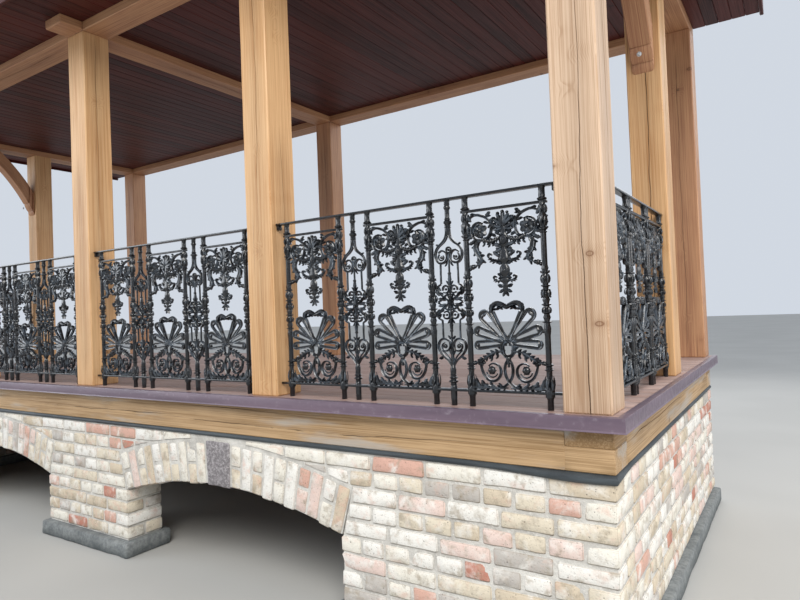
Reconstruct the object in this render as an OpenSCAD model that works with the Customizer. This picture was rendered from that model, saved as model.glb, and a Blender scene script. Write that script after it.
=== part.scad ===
// Raised timber veranda on a brick plinth, closed by cast-iron balustrades between its posts.
// X runs along the front, +Y towards the house, Z up from the underside of the footings.
// Inside the modules y = 0 is the front face of the front posts.

/* [Plan] */
// Width of the square posts, sills and plates
post_w = 188; // [170:1:200]
// Gap between a front post and the outer colonnette beside it
post_gap = 43.75; // [30:0.25:70]
// Gap between a post and the outer colonnette of a side bay
side_post_gap = 5.75; // [3:0.25:15]
// Clear way between the side posts and the wall posts
entrance_w = 1061; // [860:1:1360]

/* [Plinth] */
// Height of the concrete footing above the lowest ground
footing_h = 100; // [60:5:150]
// How far the footing stands out from the brickwork
footing_step = 40; // [20:5:60]
// Height of the brickwork
brick_h = 725; // [690:1:800]
// Thickness of the brick walls, one brick
wall_t = 260; // [240:1:280]
// Clear span of an arch
arch_span = 1735; // [1500:5:1800]
// Springing line above the top of the footing
spring_h = 313; // [250:1:330]
// Rise of the arch
arch_rise = 132; // [110:1:150]
// Middle of the front to the middle of the right arch
right_arch_x = 1306; // [1280:1:1400]
// Middle of the front to the middle of the left arch
left_arch_x = 1376; // [1280:1:1400]
// Depth of the arch ring, one brick
ring_depth = 254; // [230:1:260]
// Width of the keystone at the underside of the arch
key_w = 190; // [120:5:260]
// Thickness of the felt strip under the sills
felt_t = 25; // [5:1:30]

/* [Deck] */
// Thickness of the deck floor
deck_t = 32; // [28:1:45]
// How far the deck edge stands out from the posts
deck_over = 57; // [40:1:80]
// Height of the metal flashing on the deck edge
flashing_h = 55; // [45:1:70]
// Thickness of the folded flashing
flashing_t = 3; // [2:0.5:5]
// Width of the deck joists
joist_w = 70; // [50:1:90]
// Height of the deck joists
joist_h = 160; // [120:1:188]

/* [Roof edge] */
// Height of the posts
post_h = 2400; // [2300:5:2500]
// Underside of the ceiling above the underside of the plates
ceiling_rise = 55; // [40:1:80]
// Thickness of the ceiling boards
board_t = 20; // [16:1:25]
// Front posts' faces to the outer face of the eaves board
eaves_over = 460; // [350:5:550]
// Thickness of the eaves board
fascia_t = 25; // [20:1:35]
// Height of the eaves board
fascia_h = 158; // [140:1:200]
// How far the cross beams project in front of the plate
beam_nose = 150; // [100:5:200]
// Height of a brace on its post
brace_h = 700; // [600:5:800]
// Reach of a brace along the plate
brace_reach = 560; // [450:5:600]
// Depth of a brace
brace_d = 120; // [90:1:140]
// Width of a brace
brace_w = 120; // [90:1:140]

/* [Balustrade] */
// Top of the handrail above the deck
rail_h = 900; // [880:1:1000]
// Thickness of the handrail
rail_t = 10; // [8:1:14]
// Width of the handrail
rail_w = 36; // [30:1:44]
// Posts' outer faces to the middle of the ironwork
rail_inset = 48; // [40:1:70]
// Between the two colonnettes of a wide panel
panel_w = 342.5; // [335:0.5:345]
// Colonnette of a wide panel to the middle of the narrow baluster
baluster_gap = 88; // [84:0.5:90]
// Between neighbouring colonnettes of the side bays
pair_gap = 42; // [40:1:44]
// Thickness of the cast scrollwork
cast_t = 13; // [10:0.5:18]
// How far bosses and flowers stand proud of the scrollwork
boss_proud = 3.5; // [2:0.5:5]
// Underside of the bottom bar above the deck
foot_h = 62; // [55:1:65]
// Thickness of the bottom bar
foot_bar_t = 10; // [8:1:14]
// Width of the bottom bar
foot_bar_w = 34; // [28:1:40]
// Between the panels' upper bar and the handrail
head_gap = 56; // [50:1:66]
// Thickness of the panels' upper bar
head_bar_t = 10; // [8:1:14]
// Radius of a colonnette's plain shaft
shaft_r = 12; // [10:0.5:13]
// Radius of a colonnette's leafy foot
base_r = 19.5; // [17:0.5:20]

/* [Hidden] */
$fn = 48;

// The castings set the clear width of a bay, and so the places of the posts
panel_outer = panel_w + 2 * base_r;
panel_pitch = panel_w + 2 * baluster_gap;
side_pitch = panel_w + pair_gap;
front_row = 2 * panel_pitch + panel_outer;
side_row = 2 * side_pitch + panel_outer;
bay_pitch = front_row + 2 * post_gap + post_w;
side_post_y = side_row + 2 * side_post_gap + post_w;
wall_post_y = side_post_y + post_w + entrance_w;

bay_count = 4;
front_len = bay_count * bay_pitch + post_w;
half_len = front_len / 2;
depth = wall_post_y + post_w;
front_y = (eaves_over - depth) / 2;

brick_z = footing_h;
felt_z = brick_z + brick_h;
sill_z = felt_z + felt_t;
floor_z = sill_z + post_w;
deck_z = floor_z + deck_t;
plate_z = deck_z + post_h;
ceiling_z = plate_z + ceiling_rise;
joist_top_z = plate_z + post_w;
ceiling_joist_h = post_w - ceiling_rise - board_t;
ceiling_joist_w = 60;
ceiling_joist_gap = 620;
joist_gap = 600;
head_h = rail_h - rail_t - head_gap;

arch_r = (arch_span * arch_span / 4 + arch_rise * arch_rise) / (2 * arch_rise);
arch_half = asin(arch_span / 2 / arch_r);
arch_centre_z = brick_z + spring_h + arch_rise - arch_r;
arch_xs = [-left_arch_x, right_arch_x];
key_half = asin(key_w / 2 / arch_r);

timber = "burlywood";
iron = [0.08, 0.09, 0.11];
brick = "wheat";

// Places

function post_x(i) = (i - bay_count / 2) * bay_pitch;

module at_front() {
    translate([0, front_y, 0]) children();
}

module block(low, high) {
    translate(low) cube(high - low);
}

module both_sides() {
    children();
    mirror([1, 0, 0]) children();
}

// Plinth

module front_footings() {
    spring = arch_span / 2;
    color("lightgray") at_front()
        for (pier = [[-half_len, -left_arch_x - spring], [spring - left_arch_x, right_arch_x - spring],
                     [right_arch_x + spring, half_len]])
            block([pier[0] - footing_step, -footing_step, 0],
                  [pier[1] + footing_step, wall_t + footing_step, footing_h]);
}

module side_footings() {
    color("lightgray") at_front() both_sides()
        block([half_len - wall_t - footing_step, wall_t + footing_step, 0],
              [half_len + footing_step, depth - wall_t - footing_step, footing_h]);
}

module rear_footing() {
    color("lightgray") at_front()
        block([-half_len - footing_step, depth - wall_t - footing_step, 0],
              [half_len + footing_step, depth, footing_h]);
}

// Sector of an arch ring between two angles from the crown, standing in the X-Z plane
module ring_sector(r0, r1, a0, a1, t) {
    reach = r1 * 1.2;
    translate([0, t, arch_centre_z]) rotate([90, 0, 0]) linear_extrude(t) intersection() {
        difference() {
            circle(r1, $fn = 180);
            circle(r0, $fn = 180);
        }
        polygon([[0, 0], reach * [sin(a0), cos(a0)], reach * [sin(a1), cos(a1)]]);
    }
}

// Opening between the jambs with the seat of its ring, from below the wall to the ring's back
module arch_void() {
    jamb = arch_span / 2;
    low = brick_z - 10 - arch_centre_z;
    spring = arch_r * cos(arch_half);
    skew = arch_r * 1.3 * [sin(arch_half), cos(arch_half)];
    translate([0, wall_t + 1, arch_centre_z]) rotate([90, 0, 0]) linear_extrude(wall_t + 2) intersection() {
        circle(arch_r + ring_depth, $fn = 180);
        polygon([[-jamb, low], [jamb, low], [jamb, spring], skew, [-skew[0], skew[1]], [-jamb, spring]]);
    }
}

module front_plinth_wall() {
    color(brick) at_front() difference() {
        block([-half_len, 0, brick_z], [half_len, wall_t, felt_z]);
        for (x = arch_xs) translate([x, 0, 0]) arch_void();
    }
}

module side_plinth_walls() {
    color(brick) at_front() both_sides()
        block([half_len - wall_t, wall_t, brick_z], [half_len, depth - wall_t, felt_z]);
}

module rear_plinth_wall() {
    color(brick) at_front() block([-half_len, depth - wall_t, brick_z], [half_len, depth, felt_z]);
}

module arch_rings() {
    color("cornsilk") at_front() for (x = arch_xs) translate([x, 0, 0]) {
        ring_sector(arch_r, arch_r + ring_depth, -arch_half, -key_half, wall_t);
        ring_sector(arch_r, arch_r + ring_depth, key_half, arch_half, wall_t);
    }
}

module arch_keystones() {
    color("dimgray") at_front() for (x = arch_xs) translate([x, 0, 0])
        ring_sector(arch_r, arch_r + ring_depth, -key_half, key_half, wall_t);
}

module felt_strip() {
    color("darkslategray") at_front() difference() {
        block([-half_len, 0, felt_z], [half_len, depth, sill_z]);
        block([-half_len + post_w, post_w, felt_z - 1], [half_len - post_w, depth - post_w, sill_z + 1]);
    }
}

// Sills and deck

// The front and rear sills keep their lower half at the corners, the side sills their upper half
module cross_sill() {
    half_z = sill_z + post_w / 2;
    block([-half_len, 0, sill_z], [half_len, post_w, half_z]);
    block([-half_len + post_w, 0, half_z], [half_len - post_w, post_w, floor_z]);
}

module front_sill() {
    color(timber) at_front() cross_sill();
}

module rear_sill() {
    color(timber) at_front() translate([0, depth - post_w, 0]) cross_sill();
}

module side_sills() {
    half_z = sill_z + post_w / 2;
    color(timber) at_front() both_sides() {
        block([half_len - post_w, 0, half_z], [half_len, depth, floor_z]);
        block([half_len - post_w, post_w, sill_z], [half_len, depth - post_w, half_z]);
    }
}

module deck_joists() {
    clear = front_len - 2 * post_w;
    count = ceil(clear / joist_gap) - 1;
    color(timber) at_front() for (i = [1 : count]) {
        x = -clear / 2 + clear * i / (count + 1);
        block([x - joist_w / 2, post_w, floor_z - joist_h], [x + joist_w / 2, depth - post_w, floor_z]);
    }
}

module deck_floor() {
    color("rosybrown") at_front()
        block([-half_len - deck_over, -deck_over, floor_z], [half_len + deck_over, depth, deck_z]);
}

// Folded strip: a face over the deck edge with a drip turned out at its foot
module flashing_profile() {
    drip = 4;
    polygon([
        [0, 0], [flashing_t, 0], [flashing_t, -flashing_h + drip], [flashing_t + drip, -flashing_h],
        [drip, -flashing_h], [0, -flashing_h + drip]
    ]);
}

module front_flashing() {
    reach = half_len + deck_over;
    color("rosybrown") at_front() translate([-reach, -deck_over, deck_z])
        rotate([90, 0, 90]) mirror([1, 0, 0]) linear_extrude(2 * reach) flashing_profile();
}

module side_flashings() {
    color("rosybrown") at_front() both_sides() translate([half_len + deck_over, depth, deck_z])
        rotate([90, 0, 0]) linear_extrude(depth + deck_over) flashing_profile();
}

// Posts, plates and braces

module post(x, y) {
    block([x - post_w / 2, y, deck_z], [x + post_w / 2, y + post_w, plate_z]);
}

module front_posts() {
    color(timber) at_front() for (i = [0 : bay_count]) post(post_x(i), 0);
}

module side_posts() {
    color(timber) at_front() both_sides() post(post_x(bay_count), side_post_y);
}

module wall_posts() {
    color(timber) at_front() for (x = [post_x(0), 0, post_x(bay_count)]) post(x, wall_post_y);
}

// Cross beam over a post line, halved over the front plate, its nose in front of the plate
module cross_beam(x) {
    half_z = plate_z + post_w / 2;
    at_front() difference() {
        block([x - post_w / 2, -beam_nose, plate_z], [x + post_w / 2, depth, joist_top_z]);
        block([x - post_w, 0, half_z], [x + post_w, post_w, joist_top_z + 1]);
    }
}

module front_plate() {
    half_z = plate_z + post_w / 2;
    color(timber) at_front() difference() {
        block([-half_len, 0, plate_z], [half_len, post_w, joist_top_z]);
        for (x = [post_x(0), 0, post_x(bay_count)])
            block([x - post_w / 2, -1, plate_z - 1], [x + post_w / 2, post_w + 1, half_z]);
    }
}

module rear_plate() {
    color(timber) at_front() both_sides()
        block([post_w / 2, wall_post_y, plate_z], [half_len - post_w, depth, joist_top_z]);
}

module side_plates() {
    color(timber) both_sides() cross_beam(post_x(bay_count));
}

module centre_tie_beam() {
    color(timber) cross_beam(0);
}

// Curved brace in the quarter x > 0, z < 0: foot on the post face x = 0, head under the plate z = 0
module brace_shape() {
    sag = 60;
    chord = norm([brace_reach, brace_h]);
    r = (chord * chord / 4 + sag * sag) / (2 * sag);
    slope = atan2(brace_h, brace_reach);
    centre = [brace_reach / 2, -brace_h / 2] + (r - sag) * [sin(slope), -cos(slope)];
    intersection() {
        translate([0, -brace_h]) square([brace_reach, brace_h]);
        translate(centre) difference() {
            circle(r + brace_d, $fn = 180);
            circle(r, $fn = 180);
        }
    }
}

module brace() {
    rotate([90, 0, 90]) translate([0, 0, -brace_w / 2]) linear_extrude(brace_w) brace_shape();
}

module side_braces() {
    color(timber) at_front() both_sides() {
        translate([post_x(bay_count), post_w, plate_z]) brace();
        translate([post_x(bay_count), side_post_y, plate_z]) mirror([0, 1, 0]) brace();
    }
}

// Ceiling and eaves

module ceiling_joists() {
    clear = wall_post_y - post_w;
    count = ceil(clear / ceiling_joist_gap) - 1;
    color(timber) at_front() both_sides() for (i = [1 : count]) {
        y = post_w + clear * i / (count + 1);
        block([post_w / 2, y - ceiling_joist_w / 2, joist_top_z - ceiling_joist_h],
              [half_len - post_w, y + ceiling_joist_w / 2, joist_top_z]);
    }
}

module ceiling_boards() {
    color("brown") at_front() both_sides()
        block([post_w / 2, post_w, ceiling_z], [half_len - post_w, wall_post_y, ceiling_z + board_t]);
}

module lookout(length) {
    block([-ceiling_joist_w / 2, -length, joist_top_z - ceiling_joist_h],
          [ceiling_joist_w / 2, 0, joist_top_z]);
}

module eaves_lookouts() {
    length = eaves_over - fascia_t;
    side_count = ceil(wall_post_y / ceiling_joist_gap);
    color(timber) at_front() both_sides() {
        for (i = [0 : bay_count / 2 - 1], part = [1, 2])
            translate([(i + part / 3) * bay_pitch, 0, 0]) lookout(length);
        for (i = [1 : side_count])
            translate([half_len, i * wall_post_y / side_count, 0]) rotate([0, 0, 90]) lookout(length);
    }
}

module front_soffit() {
    color("brown") at_front() difference() {
        block([-half_len - eaves_over + fascia_t, -eaves_over + fascia_t, ceiling_z],
              [half_len + eaves_over - fascia_t, 0, ceiling_z + board_t]);
        for (x = [post_x(0), 0, post_x(bay_count)])
            block([x - post_w / 2, -beam_nose, ceiling_z - 1], [x + post_w / 2, 1, ceiling_z + board_t + 1]);
    }
}

module side_soffits() {
    color("brown") at_front() both_sides()
        block([half_len, 0, ceiling_z], [half_len + eaves_over - fascia_t, depth, ceiling_z + board_t]);
}

module front_fascia() {
    reach = half_len + eaves_over;
    color("saddlebrown") at_front()
        block([-reach, -eaves_over, joist_top_z - fascia_h], [reach, fascia_t - eaves_over, joist_top_z]);
}

module side_fascias() {
    reach = half_len + eaves_over;
    color("saddlebrown") at_front() both_sides()
        block([reach - fascia_t, fascia_t - eaves_over, joist_top_z - fascia_h],
              [reach, depth, joist_top_z]);
}

// Cast scrollwork, drawn flat: x along the rail, y up from the deck

// Band of width w along an arc of less than 240 degrees
module arc_band(c, r, w, a0, a1) {
    far = r * 3;
    mid = (a0 + a1) / 2;
    translate(c) intersection() {
        difference() {
            circle(r + w / 2);
            circle(r - w / 2);
        }
        polygon([[0, 0], far * [cos(a0), sin(a0)], far * [cos(mid), sin(mid)], far * [cos(a1), sin(a1)]]);
    }
}

// Spiral of half circles, each smaller than the last by one step and a little narrower
module scroll(c, r, step, w, a0, turns, dir) {
    a1 = a0 + 180 * dir;
    lap = 4;
    arc_band(c, r, w, a0 - lap * dir, a1);
    if (turns > 1) scroll(c + step * [cos(a1), sin(a1)], r - step, step, w * 0.88, a1, turns - 1, dir);
}

module bar(p, q, w) {
    side = w / 2 * [p[1] - q[1], q[0] - p[0]] / norm(q - p);
    polygon([p + side, p - side, q - side, q + side]);
}

// Pointed leaf between two arcs, growing from pos
module leaf(pos, angle, length, width) {
    r = (length * length / 4 + width * width / 4) / width;
    translate(pos) rotate(angle) intersection() {
        translate([length / 2, width / 2 - r]) circle(r);
        translate([length / 2, r - width / 2]) circle(r);
    }
}

module disc(pos, r) {
    translate(pos) circle(r);
}

module rosette(pos, r, petals) {
    translate(pos) {
        circle(r * 0.55);
        for (i = [1 : petals]) rotate(i * 360 / petals) translate([r * 0.62, 0]) circle(r * 0.38);
    }
}

// Upright slot with round ends
module slot(pos, r, rise) {
    translate(pos) {
        translate([0, rise / 2]) circle(r);
        translate([0, -rise / 2]) circle(r);
        square([2 * r, rise], center = true);
    }
}

module both_halves() {
    children();
    mirror([1, 0]) children();
}

// Outline of a palmette lobe that opens from the focus to a round tip
module lobe_outline(length, tip_r, root) {
    tuck = 0.4;
    lean = asin((tip_r - root / 2) / length);
    shoulder = [length - (tip_r - tuck) * sin(lean), (tip_r - tuck) * cos(lean)];
    translate([length, 0]) circle(tip_r);
    polygon([[0, -root / 2], [shoulder[0], -shoulder[1]], shoulder, [0, root / 2]]);
}

// Rim of a lobe, thicker by a crescent at its tip
module lobe(angle, length, tip_r, rib, crescent) {
    rotate(90 - angle) difference() {
        lobe_outline(length, tip_r, rib * 2);
        intersection() {
            lobe_outline(length - crescent, tip_r - rib, rib * 0.2);
            translate([rib * 2.5, -tip_r]) square([length + tip_r, tip_r * 2]);
        }
    }
}

palmette_z = 271;
keyhole_z = 241;
rib_w = 9;

// Middle lobe of the palmette: a wedge that ends in two round bumps
module two_bump_outline(root, half_w, length, bump_r) {
    for (side = [-1, 1]) translate([side * (half_w - bump_r), length - bump_r]) circle(bump_r);
    polygon([[-root, 0], [root, 0], [half_w, length - bump_r], [-half_w, length - bump_r]]);
    translate([bump_r - half_w, length - 2 * bump_r]) square([2 * (half_w - bump_r), 1.8 * bump_r]);
}

module middle_lobe() {
    difference() {
        two_bump_outline(15, 73, 169, 44);
        translate([0, 26]) two_bump_outline(3, 51, 109, 18);
    }
}

module palmette() {
    translate([0, palmette_z]) {
        middle_lobe();
        circle(36);
        both_halves() {
            lobe(42, 148, 27, rib_w, 7);
            lobe(70, 135, 23, rib_w, 4);
            lobe(95, 129, 20, rib_w, 3);
        }
    }
    both_halves() {
        bar([145, 313], [panel_w / 2, 313], 7);
        disc([151, 313], 7);
    }
}

module lower_scroll() {
    // Outer arc from the keyhole over the middle line and along the bottom bar
    arc_band([58, 155], 76, rib_w, 138, 310);
    arc_band([78.6, 130.5], 44, 7.5, 304, 540);
    arc_band([66.6, 130.5], 32, 6.5, 174, 375);
    // Leafy band from the keyhole to the colonnette
    bar([16, 238], [120, 192], 9);
    leaf([24, 238], 2, 50, 16);
    leaf([58, 222], -8, 50, 16);
    leaf([92, 202], 32, 44, 15);
    bar([118, 188], [panel_w / 2, 184], 11);
    rosette([122, 190], 18, 5);
    // Acanthus along the bottom bar
    bar([44, 75], [panel_w / 2, 75], 12);
    leaf([96, 78], 24, 60, 20);
    leaf([128, 74], 50, 46, 18);
}

// The upper group hangs from the panel's upper bar: y = 0 is its underside
module upper_scroll() {
    arc_band([112, -76], 62, 9, 33, 180);
    scroll([98, -76], 48, 14, 8, 180, 2, 1);
    rosette([104, -76], 26, 5);
    // Crest leaves
    leaf([0, -66], 62, 60, 20);
    leaf([0, -64], 34, 54, 18);
    leaf([0, -58], -4, 60, 16);
    // Garland from the medallion to the colonnette
    leaf([12, -126], -10, 52, 20);
    leaf([46, -134], 12, 54, 18);
    bar([98, -125], [panel_w / 2, -128], 8);
    leaf([104, -122], -14, 48, 20);
    // Leafy S from the garland to the colonnette
    arc_band([100, -164], 36, 13, -60, 78);
    arc_band([130.5, -216.8], 25, 10, 116, 305);
    disc([150, -237], 12);
    leaf([132, -136], -78, 54, 20);
    bar([140, -238], [panel_w / 2, -236], 9);
}

module candelabra() {
    leaf([0, -72], 90, 78, 26);
    bar([0, -60], [0, -330], 12);
    disc([0, -126], 22);
    disc([0, -250], 21);
    bar([-24, -290], [24, -290], 12);
    polygon([[-7, -66], [7, -66], [17, -104], [-17, -104]]);
    polygon([[-24, -156], [24, -156], [11, -176], [-11, -176]]);
    leaf([-34, -202], 0, 68, 46);
    leaf([0, -358], 90, 64, 32);
    both_halves() {
        leaf([22, -208], 10, 50, 15);
        leaf([44, -210], -20, 26, 12);
        leaf([0, -292], 6, 50, 15);
    }
}

module upper_bosses() {
    disc([0, -126], 20);
    disc([0, -250], 17);
    both_halves() disc([104, -76], 10);
}

module lower_bosses() {
    both_halves() disc([80, 143], 18);
}

module from_head() {
    translate([0, head_h - head_bar_t]) children();
}

module panel_scrollwork() {
    difference() {
        union() {
            palmette();
            slot([0, keyhole_z], 26, 12);
            bar([0, 216], [0, 196], 11);
            both_halves() lower_scroll();
        }
        slot([0, keyhole_z], 14, 18);
    }
    from_head() {
        candelabra();
        both_halves() upper_scroll();
    }
}

module panel_bosses() {
    lower_bosses();
    from_head() upper_bosses();
}

// Upright slab of a flat drawing, its middle on the plane y = 0
module cast_slab(t) {
    translate([0, t / 2, 0]) rotate([90, 0, 0]) linear_extrude(t) children();
}

// Rounded ring of a turned casting: x is the radius, y the height
module bead(z, r, h) {
    curve = h * 0.625;
    intersection() {
        translate([r - curve, z]) circle(curve);
        translate([0, z - h / 2]) square([r, h]);
    }
}

leg_r = 13;
leg_cap = 8;
stub_r = 14;
bulb_r = 20.5;

module colonnette() {
    foot_top = foot_h + foot_bar_t;
    head_z = head_h - head_bar_t;
    rotate_extrude() {
        polygon([
            [0, 0], [leg_r, 0], [leg_r, foot_h - leg_cap], [base_r, foot_h - leg_cap],
            [base_r, foot_top + 8], [15, foot_top + 26], [13, foot_top + 60], [17, foot_top + 84],
            [shaft_r, foot_top + 92],
            [shaft_r, head_z - 130], [19, head_z - 96], [14, head_z - 64], [20, head_z - 30],
            [14, head_z - 8], [stub_r, rail_h - rail_t], [0, rail_h - rail_t]
        ]);
        bead(352, 18, 12);
        bead(392, bulb_r, 28);
        bead(458, bulb_r, 30);
        bead(554, 17, 14);
        bead(head_h + 6, 20, 12);
    }
}

module cross_bar(length, z, w, t) {
    translate([-length / 2, -w / 2, z]) cube([length, w, t]);
}

module wide_panel() {
    cast_slab(cast_t) panel_scrollwork();
    cast_slab(cast_t + 2 * boss_proud) panel_bosses();
    cross_bar(panel_outer, foot_h, foot_bar_w, foot_bar_t);
    cross_bar(panel_outer, head_h - head_bar_t, 20, head_bar_t);
    for (side = [-1, 1]) translate([side * panel_w / 2, 0, 0]) colonnette();
}

// Narrow baluster between two wide panels

rosette_z = 447;

// Upper half of the middle rosette: y = 0 is its centre
module rosette_quarter() {
    arc_band([38, 61], 22, 7, -50, 90);
    bar([59, 54], [6, 12], 9);
    difference() {
        disc([20, 55], 18);
        disc([20, 55], 8);
    }
    leaf([0, 0], 21, 66, 17);
}

// The fork hangs from the handrail: y = 0 is its underside
module fork_half() {
    arc_band([85, -165], 79, 9, 180, 218);
    arc_band([30, -244], 32, 8, -90, 105);
    arc_band([30, -249], 27, 7, 90, 270);
    arc_band([30, -241], 19, 7, -90, 90);
    disc([30, -251], 11);
}

module heart_half() {
    arc_band([32, 256], 33, 8, -47, 180);
    scroll([24, 256], 25, 9, 7, 180, 2, 1);
    disc([25, 254], 10);
    bar([56, 234], [4, 166], 9);
    bar([28, 232], [0, 206], 7);
    leaf([40, 212], -20, 22, 12);
}

module baluster_scrollwork() {
    fork_z = rail_h - rail_t;
    both_halves() {
        heart_half();
        translate([0, fork_z]) fork_half();
        for (side = [0, 1]) translate([0, rosette_z]) mirror([0, side]) rosette_quarter();
        bar([39, fork_z - 276], [39, rosette_z + 80], 7);
        bar([39, 286], [39, rosette_z - 80], 7);
    }
    leaf([0, fork_z - 240], 90, 78, 17);
    leaf([0, rosette_z + 68], 90, 44, 15);
    leaf([0, rosette_z - 68], -90, 44, 15);
    leaf([0, 158], 90, 64, 15);
    disc([0, rosette_z], 15);
    bar([0, fork_z - 238], [0, 252], 7);
}

module narrow_baluster() {
    top = rail_h - rail_t;
    cast_slab(cast_t) baluster_scrollwork();
    rotate_extrude() {
        polygon([
            [0, 0], [15, 0], [leg_r, foot_h], [leg_r, 86], [12, 140], [10, 160], [0, 176]
        ]);
        bead(100, bulb_r, 14);
        bead(124, 18, 11);
        polygon([[0, top - 174], [11, top - 166], [12, top - 100], [10, top - 60], [stub_r, top], [0, top]]);
        bead(top - 110, 15, 9);
        bead(top - 96, 19, 14);
        bead(top - 24, 16, 20);
    }
    cross_bar(2 * baluster_gap - 2 * base_r, foot_h, foot_bar_w, foot_bar_t);
}

module bay_panels(bay) {
    middle = (post_x(bay - 1) + post_x(bay)) / 2;
    color(iron) at_front() for (i = [-1 : 1])
        translate([middle + i * panel_pitch, rail_inset, deck_z]) wide_panel();
}

module bay_balusters(bay) {
    middle = (post_x(bay - 1) + post_x(bay)) / 2;
    color(iron) at_front() for (i = [-0.5, 0.5])
        translate([middle + i * panel_pitch, rail_inset, deck_z]) narrow_baluster();
}

// The side bays hold three wide panels side by side
side_middle = (post_w + side_post_y) / 2;

module side_panels() {
    translate([half_len - rail_inset, side_middle, deck_z]) rotate([0, 0, 90])
        for (i = [-1 : 1]) translate([i * side_pitch, 0, 0]) wide_panel();
}

module left_side_panels() {
    color(iron) at_front() mirror([1, 0, 0]) side_panels();
}

module right_side_panels() {
    color(iron) at_front() side_panels();
}

module handrail(length) {
    translate([0, 0, deck_z]) {
        cross_bar(length, rail_h - rail_t, rail_w, rail_t);
        for (side = [-1, 1]) translate([side * (length / 2 - 9), 0, rail_h - rail_t - 24])
            translate([-9, -12, 0]) cube([18, 24, 24]);
    }
}

module front_handrails() {
    color(iron) at_front() for (i = [1 : bay_count])
        translate([(post_x(i - 1) + post_x(i)) / 2, rail_inset, 0]) handrail(bay_pitch - post_w);
}

module side_handrails() {
    color(iron) at_front() both_sides()
        translate([half_len - rail_inset, side_middle, 0]) rotate([0, 0, 90]) handrail(side_post_y - post_w);
}

// Short bars that tie the end feet of a bay to its posts
module lug_pair(clear, row) {
    for (side = [0, 1]) mirror([side, 0, 0])
        block([row / 2, -foot_bar_w / 2 + 6, foot_h], [clear / 2, foot_bar_w / 2 - 6, foot_h + foot_bar_t]);
}

module rail_lugs() {
    color(iron) at_front() {
        for (i = [1 : bay_count]) translate([(post_x(i - 1) + post_x(i)) / 2, rail_inset, deck_z])
            lug_pair(bay_pitch - post_w, front_row);
        both_sides() translate([half_len - rail_inset, side_middle, deck_z]) rotate([0, 0, 90])
            lug_pair(side_post_y - post_w, side_row);
    }
}

front_footings();
side_footings();
rear_footing();
front_plinth_wall();
side_plinth_walls();
rear_plinth_wall();
arch_rings();
arch_keystones();
felt_strip();
front_sill();
rear_sill();
side_sills();
deck_joists();
deck_floor();
front_flashing();
side_flashings();
front_posts();
side_posts();
wall_posts();
front_plate();
rear_plate();
side_plates();
centre_tie_beam();
side_braces();
ceiling_joists();
ceiling_boards();
eaves_lookouts();
front_soffit();
side_soffits();
front_fascia();
side_fascias();
bay_panels(1);  // bay_1_panels
bay_panels(2);  // bay_2_panels
bay_panels(3);  // bay_3_panels
bay_panels(4);  // bay_4_panels
bay_balusters(1);  // bay_1_balusters
bay_balusters(2);  // bay_2_balusters
bay_balusters(3);  // bay_3_balusters
bay_balusters(4);  // bay_4_balusters
left_side_panels();
right_side_panels();
front_handrails();
side_handrails();
rail_lugs();
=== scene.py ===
import math
import bpy
import numpy as np
from mathutils import Matrix, Vector


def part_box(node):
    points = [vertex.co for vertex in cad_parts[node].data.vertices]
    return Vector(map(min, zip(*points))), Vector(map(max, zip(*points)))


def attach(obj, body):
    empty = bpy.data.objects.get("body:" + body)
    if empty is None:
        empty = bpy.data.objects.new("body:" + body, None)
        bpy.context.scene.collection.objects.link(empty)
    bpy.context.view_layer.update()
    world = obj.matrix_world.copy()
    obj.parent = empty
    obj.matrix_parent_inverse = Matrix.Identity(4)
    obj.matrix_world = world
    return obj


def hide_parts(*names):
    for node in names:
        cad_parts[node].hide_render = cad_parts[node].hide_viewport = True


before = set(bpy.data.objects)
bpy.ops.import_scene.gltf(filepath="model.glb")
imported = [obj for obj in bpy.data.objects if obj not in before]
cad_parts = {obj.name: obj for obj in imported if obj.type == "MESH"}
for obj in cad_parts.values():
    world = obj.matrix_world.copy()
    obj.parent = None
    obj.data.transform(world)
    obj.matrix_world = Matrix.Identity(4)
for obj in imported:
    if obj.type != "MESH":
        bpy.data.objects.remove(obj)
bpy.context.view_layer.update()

# Sizes in metres, as in the part's source

BAY = 1.694
BAY_COUNT = 4
POST = 0.188
HALF = (BAY_COUNT * BAY + POST) / 2
SIDE_POST_Y = 1.350
WALL_POST_Y = 2.599
DEPTH = WALL_POST_Y + POST
FRONT_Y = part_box("front_posts")[0][1]
BACK_Y = FRONT_Y + DEPTH
FOOTING_H = 0.100
FOOTING_STEP = 0.040
BRICK_TOP = 0.825
WALL_T = 0.260
ARCH_SPAN = 1.735
ARCH_SPRING = 0.413
ARCH_RISE = 0.132
ARCH_XS = (-1.376, 1.306)
RING_DEPTH = 0.254
KEY_W = 0.190
SILL_Z = 0.850
FLOOR_Z = 1.038
DECK_Z = 1.070
DECK_OVER = 0.057
PLATE_Z = 3.470
CEILING_Z = 3.525
ROOF_Z = 3.658
BOARD_T = 0.020
EAVES = 0.460
FASCIA_T = 0.025
FASCIA_H = 0.158
BEAM_NOSE = 0.150
RAIL_H = 900.0
RAIL_T = 10.0
RAIL_INSET = 0.048
PANEL_W = 342.5
PANEL_PITCH = 0.5185
SIDE_PITCH = 0.3845
SIDE_MIDDLE = (POST + SIDE_POST_Y) / 2

ARCH_R = (ARCH_SPAN ** 2 / 4 + ARCH_RISE ** 2) / (2 * ARCH_RISE)
ARCH_HALF = math.asin(ARCH_SPAN / 2 / ARCH_R)
ARCH_CENTRE_Z = ARCH_SPRING + ARCH_RISE - ARCH_R
POST_XS = [(i - BAY_COUNT / 2) * BAY for i in range(BAY_COUNT + 1)]


CAMERA_PLACE = (4.0781, -3.4749, 1.4805)
CAMERA_TURN = (33.136, 1.153, -2.25)
CAMERA_LENS = 27.65


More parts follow.
